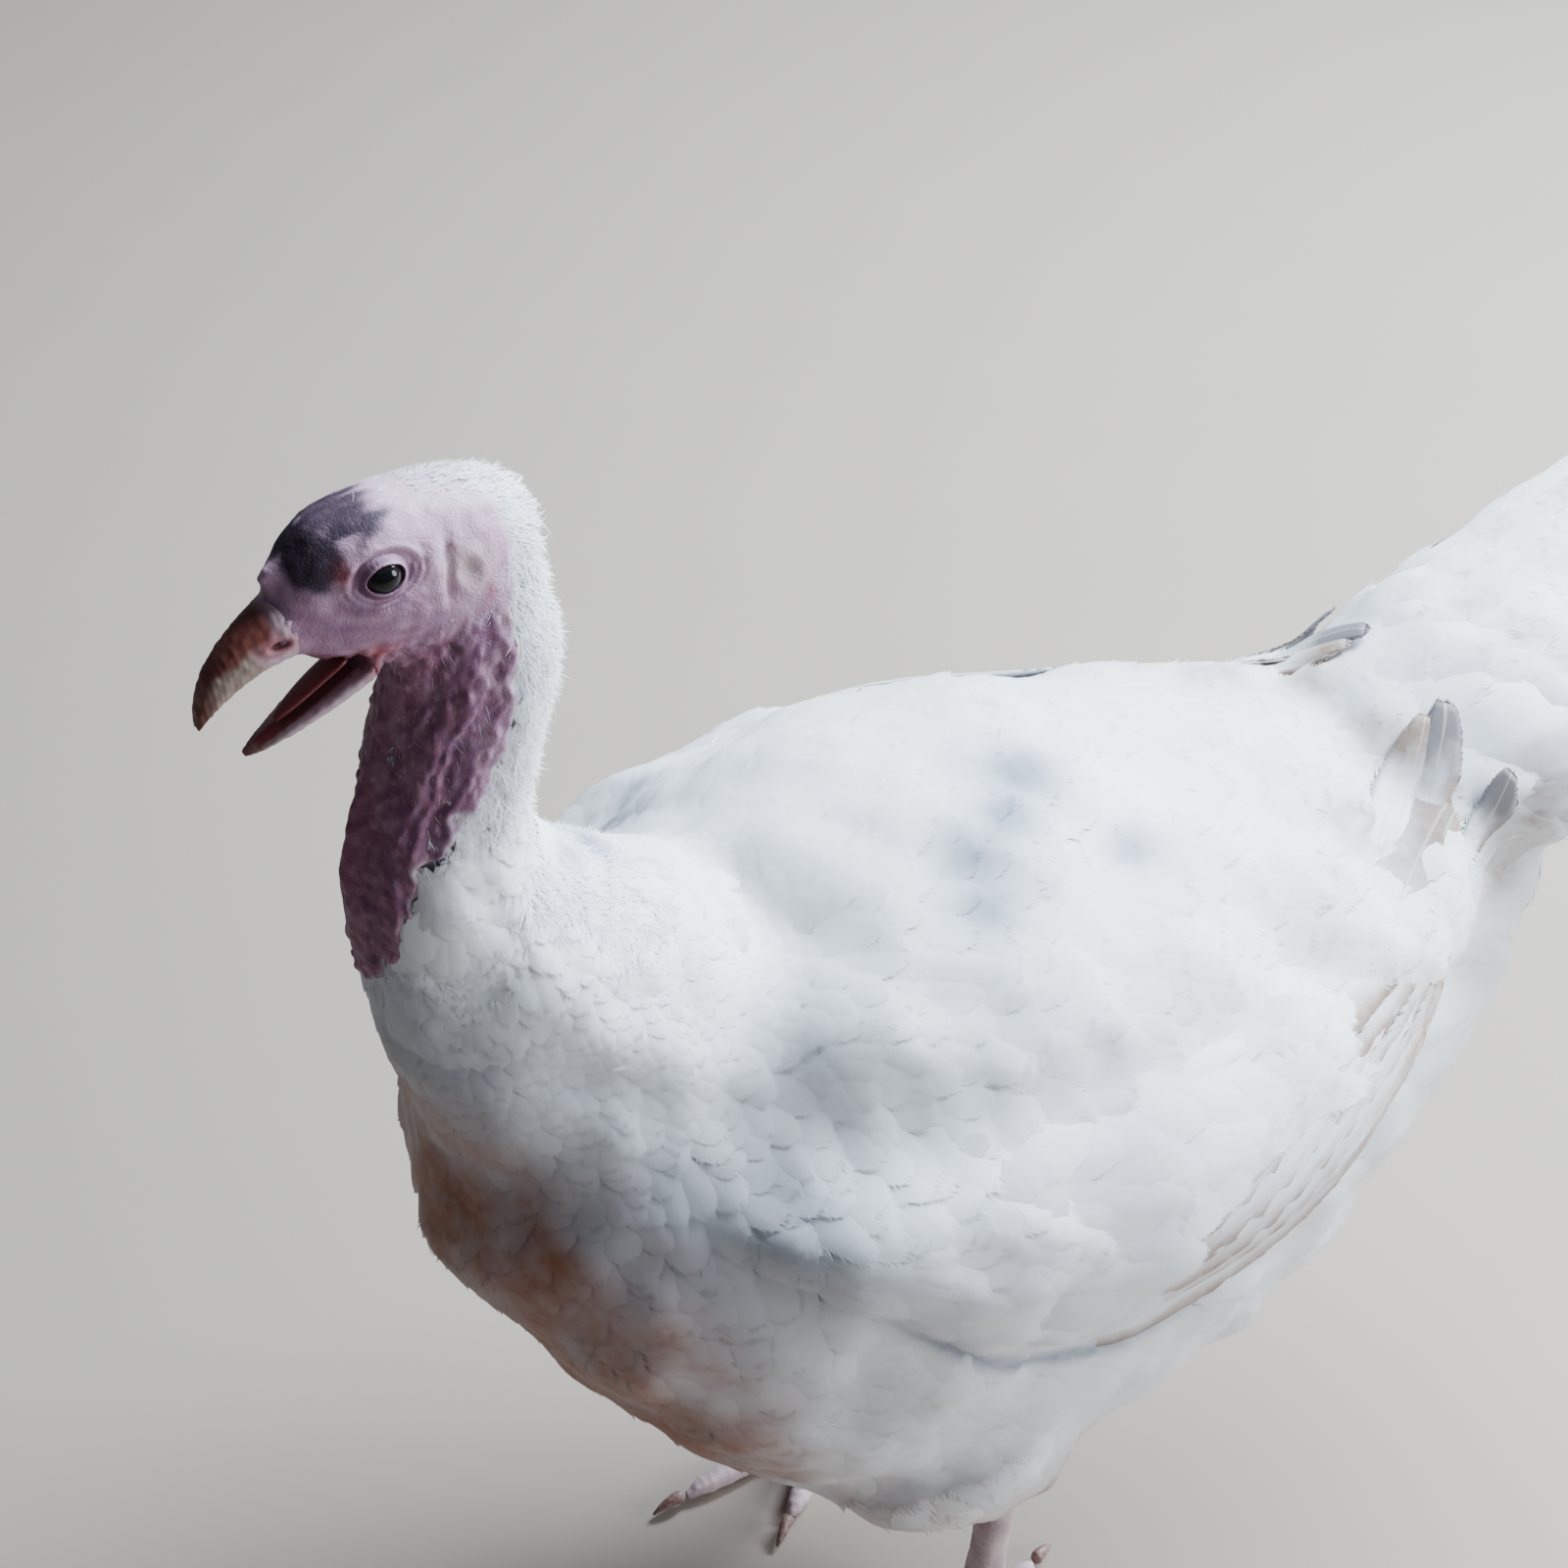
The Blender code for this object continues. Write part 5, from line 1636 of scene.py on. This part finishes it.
class TURKEY_OT_neck_coat(bpy.types.Operator):
    """Small feathers on the lower neck, down on nape and crown, and hair-like feathers on bare skin"""

    bl_idname = "turkey.neck_coat"
    bl_label = "Neck and Head Feathers"

    def execute(self, context):
        form = form_of("body")
        self.neck(form)
        self.down(form)
        self.bristles(form)
        return {"FINISHED"}

    def neck(self, form):
        def free(points, facing):
            start = 0.420 + 0.014 * seeded(80).random(len(points))
            x, _, z = points.T
            return (z > start) & (z < 0.535) & (bareness(points) < 0.6) & (x < -0.19)

        roots, facing = form.spread(lambda p: np.interp(p[:, 2], (0.42, 0.52), (0.0046, 0.0030)), 81, free)
        chance = seeded(82)
        size = np.interp(roots[:, 2], (0.42, 0.52), (1.0, 0.55)) * chance.uniform(0.8, 1.15, len(roots))
        size *= 1 - 0.45 * ramp(0.1, 0.6, bareness(roots))
        made = Coat("coat_neck", 0.85, ((0.0012, 0.040, 83), (0.0004, 0.018, 87)))
        sizes = (0.022 * size, 0.0068 * size, 0.0014 * size, 0.0004 * size)
        made.plant("fluffy", form, roots, facing, lie(roots, 84), sizes, neck_unwrap(roots),
                   masks_for(roots, 85), 86)
        made.finish("body_feathers")

    def down(self, form):
        """Thick white down on nape and back of the head, thinning forward until the skin shows through."""
        def density(points):
            forward, _, up = in_head(points).T
            around = round_neck(points)
            behind = ramp(-22.0, -33.0, forward) * ramp(-34, -22, up)
            raised = up + 0.30 * np.maximum(-forward - 5, 0)
            crown = 0.34 * ramp(11.0, 22.0, raised) * ramp(8.0, -12.0, forward)
            temple = 0.26 * ramp(-6.0, -26.0, forward)
            head = np.clip(np.maximum(behind, crown) + temple, 0, 1) * ramp(-26.0, -16.0, up)
            nape = ramp(94.0, 66.0, around + 6 * swell(points, 0.010, 10)) * ramp(-12.0, -24.0, up)
            border = 0.7 * hump(bareness(points), 0.35, 0.35) * ramp(-24.0, -30.0, up)
            return np.maximum(np.maximum(head, nape), border) * ramp(0.425, 0.432, points[:, 2])

        def free(points, facing):
            return seeded(91).random(len(points)) < density(points) * 1.15

        roots, facing = form.spread(even(0.00135), 92, free)
        chance = seeded(93)
        back = np.broadcast_to((1.0, 0.0, -0.55), roots.shape)
        down = np.broadcast_to((0.22, 0.0, -1.0), roots.shape)
        low = ramp(10.0, -14.0, in_head(roots)[:, 2])[:, None]
        flow = back * (1 - low) + down * low + chance.normal(0, 0.16, roots.shape)
        full = density(roots)
        length = (0.0036 + 0.0046 * full**1.5) * chance.uniform(0.7, 1.25, len(roots))
        lift = length * (0.10 + 0.30 * full**2 * chance.random(len(roots)))
        made = Coat("down_head", 0.55)
        sizes = (length, length, 0.0008, lift)
        made.plant("down", form, roots, facing, flow, sizes, neck_unwrap(roots), masks_for(roots, 94), 95)
        made.finish("face_skin")

    def bristles(self, form):
        """Single hair-like feathers on the bare skin, and loose wisps along the edge of the feathering."""
        def wisps(points):
            return hump(bareness(points), 0.62, 0.30) * ramp(-14.0, -24.0, in_head(points)[:, 2])

        def free(points, facing):
            forward, _, up = in_head(points).T
            eye = np.hypot(forward - EYE_FORWARD, up - EYE_UP) < 10
            mouth = (forward > 8) & (up < -10)
            few = seeded(105).random(len(points)) < 0.20 + wisps(points)
            return (bareness(points) > 0.25) & ~eye & ~mouth & (forward < 20) & (points[:, 2] > 0.42) & few

        roots, facing = form.spread(even(0.0019), 101, free)
        chance = seeded(102)
        flow = np.broadcast_to((0.30, 0.0, -1.0), roots.shape) + chance.normal(0, 0.28, roots.shape)
        on_face = ramp(-20.0, -10.0, in_head(roots)[:, 2])
        length = (0.0042 - 0.0016 * on_face + 0.0030 * wisps(roots)) * chance.uniform(0.6, 1.3, len(roots))
        made = Coat("bristles", 0.5)
        sizes = (length, length, 0.0005, length * 0.16)
        made.plant("bristle", form, roots, facing, flow, sizes, neck_unwrap(roots),
                   masks_for(roots, 103, 0.0, 0.35), 104)
        made.finish("neck_skin")


# ---- wings and tail

class Sheet:
    """A smooth four-sided surface from a grid of points, read anywhere by two shares, also past its edges."""

    def __init__(self, grid, zero):
        self.grid = grid
        ahead, aside = np.gradient(grid, axis=(0, 1))
        self.facing = unit(np.cross(ahead, aside))
        steps = np.linalg.norm(np.diff(grid, axis=1), axis=2)
        run = np.concatenate((np.zeros((len(grid), 1)), np.cumsum(steps, axis=1)), 1)
        self.run = run - run[:, zero:zero + 1]  # metres across each row from the column that counts as 0

    def step(self, share, axis):
        """The row or column that begins the cell a share falls in, and how far into the cell it is."""
        count = self.grid.shape[axis] - 1
        start = np.clip(np.floor(share * count), 0, count - 1).astype(int)
        return start, (share * count - start)[..., None]

    def read(self, values, s, t):
        (row, down), (column, over) = self.step(s, 0), self.step(t, 1)
        return (values[row, column] * (1 - down) * (1 - over) + values[row + 1, column] * down * (1 - over)
                + values[row, column + 1] * (1 - down) * over + values[row + 1, column + 1] * down * over)

    def across(self, s, metres):
        """The second share of points that lie that many metres across the sheet."""
        row, over = self.step(s, 0)
        over = np.clip(over, 0, 1)
        columns = self.grid.shape[1] - 1
        run = self.run[row] * (1 - over) + self.run[row + 1] * over
        found = [np.interp(value, line, np.arange(columns + 1)) for value, line in zip(metres, run)]
        before = np.minimum(metres - run[:, 0], 0) / (run[:, 1] - run[:, 0])
        after = np.maximum(metres - run[:, -1], 0) / (run[:, -1] - run[:, -2])
        return (np.array(found) + before + after) / columns

    def raised(self, s, t, height):
        """The places at these shares, that high over the sheet, and its facing there."""
        facing = unit(self.read(self.facing, np.clip(s, 0, 1), np.clip(t, 0, 1)))
        return self.read(self.grid, s, t) + facing * height[..., None], facing


WING_SHARES = np.linspace(-0.45, 1.25, 35)  # how far up a folded wing each column of its sheet runs


@functools.cache
def wing_sheet(side):
    """The bird's surface over a folded wing, from its front to its tip, a little past its edges."""
    form = form_of("bird")
    stations, low, high = wing_span(side)
    grid = []
    for x, base, top in zip(stations, low, high):
        row = []
        for angle in base + (top - base) * WING_SHARES:
            aim = Vector((0.0, SIDES[side] * math.cos(angle), -math.sin(angle)))
            place = form.tree.ray_cast(Vector((x, 0.0, WING_AXIS)) - aim * 0.4, aim)[0]
            row.append(tuple(place))
        grid.append(row)
    grid = np.array(grid)
    for _ in range(4):
        grid[1:-1] = (grid[:-2] + 2 * grid[1:-1] + grid[2:]) / 4
        grid[:, 1:-1] = (grid[:, :-2] + 2 * grid[:, 1:-1] + grid[:, 2:]) / 4
    return Sheet(grid, int(np.argmin(abs(WING_SHARES))))


QUILL_ROWS = np.concatenate((np.linspace(0, 0.86, 15), (0.92, 0.96, 0.985)))
QUILL_COLUMNS = np.array((-1.0, -0.66, -0.33, -0.05, 0.0, 0.05, 0.33, 0.66, 1.0))


def quill_blade(u):
    """Half width of a flight or tail feather: even, then rounded off to its tip."""
    rounding = np.sqrt(np.clip(1 - ((u - 0.80) / 0.205).clip(0) ** 2, 0.02, 1))
    return (0.35 + 0.65 * ramp(0.0, 0.25, u)) * rounding


def stiff(seed):
    return vane(QUILL_ROWS, QUILL_COLUMNS, quill_blade, 0.5, seed, (3, 2), 8)


@functools.cache
def quill_patterns():
    """Long, stiff feathers with a raised shaft and close-set barbs."""
    made = [stiff(seed) for seed in range(4)]
    for pattern in made:
        shaft = np.tile(QUILL_COLUMNS == 0.0, len(QUILL_ROWS))
        pattern.rise = np.where(shaft, 0.0007 * (1 - 0.8 * pattern.along), 0.0)
    return made


QUILL_THICKNESS = 0.0005

# A long feather on a sheet: its start and end along it, its metres across at any share along, its half width,
# its height at root and tip, how far it tips over its lower neighbour, and its tone, stain and slate.
Quill = namedtuple("Quill", "start end middle half_width low high tip masks")


def lay_quills(coat, sheet, quills, seed):
    chance = seeded(seed)
    for number, quill in enumerate(quills):
        pattern = quill_patterns()[chance.integers(0, 4)]
        u, v = pattern.along, pattern.across
        s = quill.start + (quill.end - quill.start) * u
        t = sheet.across(s, quill.middle(s) + v * quill.half_width)
        height = quill.low + (quill.high - quill.low) * u + pattern.rise - 0.0010 * v**2 - quill.tip * v
        height = height + 0.0003 * np.sin(9 * u + number)
        points, facing = sheet.raised(s, t, height)
        spot = 0.02 + 0.96 * np.clip(((quill.start + quill.end) / 2, t.mean()), 0, 1)
        coat.gather(points[None], facing[None], pattern, spot[None], np.array(quill.masks)[None])


WING_LUMPS = ((0.0009, 0.045, 127),)
FLIGHT_QUILLS = 8
# Along a wing, in metres: how far below its solid's low edge the lowest quill hangs, and how far up the last
# one lies.
FLIGHT_ALONG = (0.10, 0.21, 0.28, 0.41, 0.62, 0.75, 0.88, 1.0)
FLIGHT_LOW = (0.004, -0.004, -0.009, -0.023, -0.020, -0.016, -0.012, -0.007)
FLIGHT_HIGH = (0.012, 0.020, 0.028, 0.042, 0.056, 0.056, 0.044, 0.026)
# Inner quills over the rump: root and tip of each, half width, stain and slate. Mirrored for the right wing.
TERTIALS = (
    ((0.022, -0.076, 0.366), (0.080, -0.020, 0.389), 0.0080, 1.0, 0.3),
    ((0.027, -0.080, 0.363), (0.088, -0.022, 0.391), 0.0080, 1.0, 0.2),
    ((0.034, -0.085, 0.358), (0.099, -0.024, 0.393), 0.0082, 1.0, 1.0),
    ((0.046, -0.093, 0.346), (0.106, -0.044, 0.378), 0.0066, 0.8, 0.9),
)


class TURKEY_OT_wings(bpy.types.Operator):
    """Folded wings: flight feathers stacked along the low edge, coverts over them"""

    bl_idname = "turkey.wings"
    bl_label = "Wings"

    def execute(self, context):
        coat = context.scene.turkey_coat
        for side in SIDES:
            self.flight(side)
            self.coverts(side, coat)
        return {"FINISHED"}

    def flight(self, side):
        """Quills nested along the low edge, each over the one below it, with the inner ones over the rump."""
        made = Coat(f"flight_{side}", 0.35)
        quills = []
        chance = seeded(111)
        for number in range(FLIGHT_QUILLS):
            share = number / (FLIGHT_QUILLS - 1)

            def middle(s, share=share):
                low, high = (np.interp(s, FLIGHT_ALONG, edge) for edge in (FLIGHT_LOW, FLIGHT_HIGH))
                return low + (high - low) * share + 0.0150

            grey = 0.4 * (number == FLIGHT_QUILLS - 1)  # the highest quill has a grey tip
            masks = (0.25 + 0.2 * chance.random(), 0.70 + 0.30 * chance.random(), grey)
            end = 0.80 + 0.235 * share**0.6 + 0.012 * chance.random()
            quills.append(Quill(start=0.20 + 0.14 * share, end=end, middle=middle, half_width=0.0165,
                                low=-0.0032, high=0.0016, tip=0.0014, masks=masks))
        lay_quills(made, wing_sheet(side), quills, 112)
        form = form_of("bird")
        for number, (root, tip, half_width, stain, slate) in enumerate(TERTIALS):
            root, tip = np.array((root, tip)) * (1.0, SIDES[side], 1.0)
            place, facing = form.land(root[None])
            sizes = (np.linalg.norm(tip - root), half_width, 0.0060, 0.0036 + 0.0006 * number)
            masks = np.array(((0.3, stain, slate),))
            spot = np.array(((0.90 + 0.01 * number, 0.93),))
            made.plant("tertial", form, place, facing, (tip - root)[None], sizes, spot, masks, number)
        finish_quills(made, "flight_feathers", f"wing_{side}_flight")

    def coverts(self, side, coat):
        form = form_of("bird")

        def free(points, facing):
            along, up = over_wing(points)
            outward = facing[:, 1] * -SIDES[side] * 0.8 + facing[:, 2] * 0.6
            edge = np.interp(along, (0.12, 0.17, 0.24, 0.32, 0.42, 0.54, 0.66),
                             (0.42, 0.30, 0.40, 0.62, 0.70, 0.86, 1.05))
            return (outward > 0.05) & (up > edge) & (up < 1.1) & (along > 0.12) & (along < 0.66)

        roots, facing = form_of(side).spread(even(coat.spacing * 0.95), 121, free)
        along, up = over_wing(roots)
        chance = seeded(122)
        flow = np.stack((np.ones(len(roots)), np.zeros(len(roots)), -0.34 + 0.75 * ramp(0.2, 1.0, along)), 1)
        flow = flow + 0.10 * swell(roots, 0.05, 123)[:, None] * (0, 0, 1)
        size = (1.05 - 0.30 * ramp(0.45, 1.0, up)) * (1 - 0.25 * ramp(0.3, 0.0, along))
        stain = 0.5 * ramp(0.70, 0.88, along) * ramp(0.45, 0.9, chance.random(len(roots)))
        made = Coat(f"coat_wing_{side}", coat.softness, WING_LUMPS)
        sizes = (coat.length * size * chance.uniform(0.9, 1.1, len(roots)), coat.half_width * size,
                 0.0022 + 0.0020 * ramp(0.30, 0.14, along), 0.0010 + 0.0018 * ramp(0.14, 0.34, along))
        unwrap = 0.02 + 0.96 * np.clip(np.stack((along, up), 1), 0, 1)
        made.plant("covert", form, roots, facing, flow, sizes, unwrap, masks_for(roots, 125, stain), 126)
        made.finish("wing_feathers", f"wing_{side}_coverts")


def finish_quills(made, slot, node):
    """Weaves long feathers and gives them their thickness."""
    piece = modified(made.weave(), "SOLIDIFY", thickness=QUILL_THICKNESS, offset=-1.0)
    finish_piece(piece, quill_material(), slot, node)


@functools.cache
def quill_material():
    """Flight and tail feathers: tan worn edges, slate tips, pale shaft and fine slanting barbs."""
    coat = bpy.context.scene.turkey_coat
    material, tree, shader = new_material(
        "flight feather", 0.6, Sheen_Weight=0.15, Sheen_Roughness=0.5, Specular_IOR_Level=0.35
    )
    _, parts = along_blade(tree)
    place = object_place(tree)
    worn = noise(tree, place, 60.0, 3.0, 0.5)
    outer = times(tree, parts["Y"], -1.0)
    edge = stretch(tree, plus(tree, outer, times(tree, worn, 0.8)), 0.60, 1.50)
    tip = stretch(tree, plus(tree, parts["X"], times(tree, worn, 0.15)), 0.80, 1.03)
    wear = times(tree, mask_of(tree, "stain"), maths(tree, "MAXIMUM", edge, tip), True)
    wear = times(tree, wear, 1.35, True)
    end = stretch(tree, plus(tree, parts["X"], times(tree, worn, 0.35)), 0.80, 1.0)
    slate = times(tree, mask_of(tree, "slate"), end, True)
    # Deep lays painted shade, and Dirt earth with painted shade and bounce light.
    colours = plumage(tree, coat, place, Tone=mask_of(tree, "tone"), Dirt=mask_of(tree, "dirt"),
                      Stain=wear, Slate=slate, Deep=mask_of(tree, "deep"))
    shaft = stretch(tree, maths(tree, "ABSOLUTE", parts["Y"]), 0.02, 0.06, 0.45, 0.0)
    colour = blend(tree, shaft, colours["Color"], (0.66, 0.58, 0.48))
    wire(tree, shader, colour, colours["Roughness"], barbs(tree, parts, 0.12, 900.0, 0.4, worn), 0.00015, 0.4)
    return material


TAIL_RISE = 16.0  # degrees
TAIL_QUILLS = 18
GREY_TAIL_QUILL = 13  # the one with a grey tip
TAIL_ROOT_BACK = 0.009  # how far the tail's root lies ahead of its solid's front end
TAIL_ROOT_HEIGHT = 0.350
TAIL_HALF = 0.087  # half its width where it is widest, before it is fitted to its solid
TAIL_LUMPS = ((0.0010, 0.030, 143),)


def tail_axes():
    """The tail's root, and rows along it and upwards."""
    rise = math.radians(TAIL_RISE)
    along = np.array((math.cos(rise), 0.0, math.sin(rise)))
    upward = np.array((-math.sin(rise), 0.0, math.cos(rise)))
    return np.array((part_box("tail")[0].x - TAIL_ROOT_BACK, 0.0, TAIL_ROOT_HEIGHT)), along, upward


class TURKEY_OT_tail(bpy.types.Operator):
    """Tail quills laid from the outermost to the middle pair, with coverts above and below their roots"""

    bl_idname = "turkey.tail"
    bl_label = "Tail"

    def execute(self, context):
        coat = context.scene.turkey_coat
        self.quills()
        self.coverts(coat)
        return {"FINISHED"}

    def quills(self):
        root, along, upward = tail_axes()
        low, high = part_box("tail")
        reach = (high.x - root[0]) / along[0] - 0.002
        spread = (high.y - low.y) / 2
        s = np.linspace(0, 1, 40)
        t = np.linspace(-1, 1, 31)
        half = np.interp(s, (0, 0.2, 0.4, 0.6, 0.8), (0.046, 0.060, 0.072, 0.081, TAIL_HALF))
        droop = np.interp(s, (0, 0.4, 1.0), (0.004, 0.009, 0.014))
        centre = root + along * (s * reach)[:, None]
        across = t[None, :] * (half * spread / TAIL_HALF)[:, None]
        grid = centre[:, None] + np.array((0.0, 1.0, 0.0)) * across[..., None]
        grid = grid - upward * (droop[:, None] * t[None] ** 2)[..., None]
        sheet = Sheet(grid, len(t) // 2)
        made = Coat("tail_quills", 0.35)
        chance = seeded(131)
        quills = []
        for number in range(TAIL_QUILLS):
            side = 1 if number % 2 else -1
            rank = TAIL_QUILLS // 2 - 1 - number // 2  # the outermost pair is laid first
            place = side * (rank + 0.5) / (TAIL_QUILLS / 2)
            end = 1.0 - 0.11 * abs(place) ** 2.2 - 0.012 * chance.random()
            layer = 0.0055 - 0.0010 * rank
            masks = (0.3, 0.28 + 0.25 * chance.random(), 0.25 * (number == GREY_TAIL_QUILL))

            def middle(along_it, place=place):
                return place * (0.66 + 0.22 * along_it) * np.interp(along_it, s, half) * spread / TAIL_HALF

            quills.append(Quill(start=0.10, end=end, middle=middle, half_width=0.0175, low=layer * 0.5,
                                high=layer, tip=0.0012, masks=masks))
        lay_quills(made, sheet, quills, 132)
        finish_quills(made, "tail_feathers", "tail")

    def coverts(self, coat):
        form = form_of("tail")
        root, along, upward = tail_axes()

        def free(points, facing):
            reach = (points - root) @ along
            above = facing @ upward > -0.1
            return (reach > np.where(above, 0.022, 0.004)) & (reach < np.where(above, 0.190, 0.165))

        roots, facing = form.spread(even(coat.spacing * 0.95), 141, free)
        reach = (roots - root) @ along
        chance = seeded(142)
        flow = np.broadcast_to(along, roots.shape) + chance.normal(0, 0.10, roots.shape)
        above = facing @ upward > 0
        size = chance.uniform(0.9, 1.15, len(roots))
        lift = np.where(above, 0.0014, 0.0022)
        stain = 0.25 * ramp(0.2, 1.2, swell(roots, 0.045, 144))
        made = Coat("coat_tail", coat.softness, TAIL_LUMPS)
        sizes = (coat.length * size, coat.half_width * size, 0.0030, lift)
        share = reach / 0.2
        around = np.arctan2(facing @ upward, facing[:, 1]) / (math.tau) + 0.5
        unwrap = np.stack((0.02 + 0.96 * np.clip(share, 0, 1), 0.02 + 0.96 * around), 1)
        outermost = ramp(0.052, 0.066, roots[:, 1]) * ramp(0.12, 0.15, reach)
        dark = 0.8 * (outermost > chance.random(len(roots)) + 0.35)
        masks = masks_for(roots, 145, stain, dark)
        made.plant("fluffy", form, roots, facing, flow, sizes, unwrap, masks, 146)
        made.finish("tail_feathers")


# ---- stage

def aimed(name, data, place, back):
    """A new lamp or camera at a place, with this direction behind it."""
    made = placed(name, data)
    made.location = place
    made.rotation_mode = "QUATERNION"
    made.rotation_quaternion = back.to_track_quat("Z", "Y")
    return made


class TURKEY_OT_stage(bpy.types.Operator):
    """Pale floor, large soft lights and the camera"""

    bl_idname = "turkey.stage"
    bl_label = "Stage"

    def execute(self, context):
        stage = context.scene.turkey_stage
        self.floor(stage)
        self.lights(stage)
        self.camera(stage)
        return {"FINISHED"}

    def floor(self, stage):
        deselect()
        bpy.ops.mesh.primitive_plane_add(size=9.0, location=(0.0, 0.0, 0.0))
        floor = bpy.context.view_layer.objects.active
        floor.name = "floor"
        material, tree, shader = new_material("pale floor", 0.85)
        grain = noise(tree, object_place(tree), 9.0, 5.0, 0.6)
        wire(tree, shader, blend(tree, grain, stage.floor, tuple(0.93 * value for value in stage.floor)))
        floor.data.materials.append(material)

    def lights(self, stage):
        centre = sum(CAD_BOX, Vector()) / 2
        rigs = (
            ("key", (1.30, 0.22, 1.30), 1.2, stage.key, (0.72, 0.87, 1.0)),
            ("fill", (1.25, -1.30, 0.50), 1.0, stage.fill, (0.82, 0.91, 1.0)),
        )
        for name, offset, size, power, colour in rigs:
            lamp = bpy.data.lights.new(name, "AREA")
            lamp.shape, lamp.size, lamp.energy, lamp.color = "DISK", size, power, colour
            aimed(name, lamp, centre + Vector(offset), Vector(offset))
        world = bpy.data.worlds.new("soft room")
        world.use_nodes = True
        background = world.node_tree.nodes["Background"]
        background.inputs["Color"].default_value = (0.74, 0.84, 1.0, 1.0)
        background.inputs["Strength"].default_value = 0.15
        bpy.context.scene.world = world

    def camera(self, stage):
        azimuth, elevation = math.radians(stage.azimuth), math.radians(stage.elevation)
        back = Vector((
            math.sin(azimuth) * math.cos(elevation), -math.cos(azimuth) * math.cos(elevation),
            math.sin(elevation),
        ))
        lens = bpy.data.cameras.new("camera")
        lens.lens = stage.lens
        lens.sensor_width = 36.0
        aim = sum(CAD_BOX, Vector()) / 2 + Vector((-0.1136, 0.0829, 0.0613))
        bpy.context.scene.camera = aimed("camera", lens, aim + back * stage.distance, back)


# ---- panel and registration

OPERATORS = (
    TURKEY_OT_skin, TURKEY_OT_eyes, TURKEY_OT_bill, TURKEY_OT_claws, TURKEY_OT_body_coat,
    TURKEY_OT_neck_coat, TURKEY_OT_wings, TURKEY_OT_tail, TURKEY_OT_stage,
)
SETTINGS = {
    "turkey_skin": TurkeySkinSettings,
    "turkey_horn": TurkeyHornSettings,
    "turkey_coat": TurkeyCoatSettings,
    "turkey_stage": TurkeyStageSettings,
}


class TURKEY_PT_panel(bpy.types.Panel):
    """Buttons for each part of the bird, and its sizes and colours"""

    bl_idname = "TURKEY_PT_panel"
    bl_label = "Domestic Turkey"
    bl_space_type = "VIEW_3D"
    bl_region_type = "UI"
    bl_category = "Turkey"

    def draw(self, context):
        for operator in OPERATORS:
            self.layout.operator(operator.bl_idname)
        for name, settings in SETTINGS.items():
            box = self.layout.box()
            for key in settings.__annotations__:
                box.prop(getattr(context.scene, name), key)


def register():
    for made in (*SETTINGS.values(), *OPERATORS, TURKEY_PT_panel):
        bpy.utils.register_class(made)
    for name, settings in SETTINGS.items():
        setattr(bpy.types.Scene, name, PointerProperty(type=settings))


def unregister():
    for name in SETTINGS:
        delattr(bpy.types.Scene, name)
    for made in (TURKEY_PT_panel, *reversed(OPERATORS), *SETTINGS.values()):
        bpy.utils.unregister_class(made)


def main():
    register()
    for operator in OPERATORS:
        getattr(bpy.ops.turkey, operator.bl_idname.split(".")[1])()


if __name__ == "__main__":
    main()
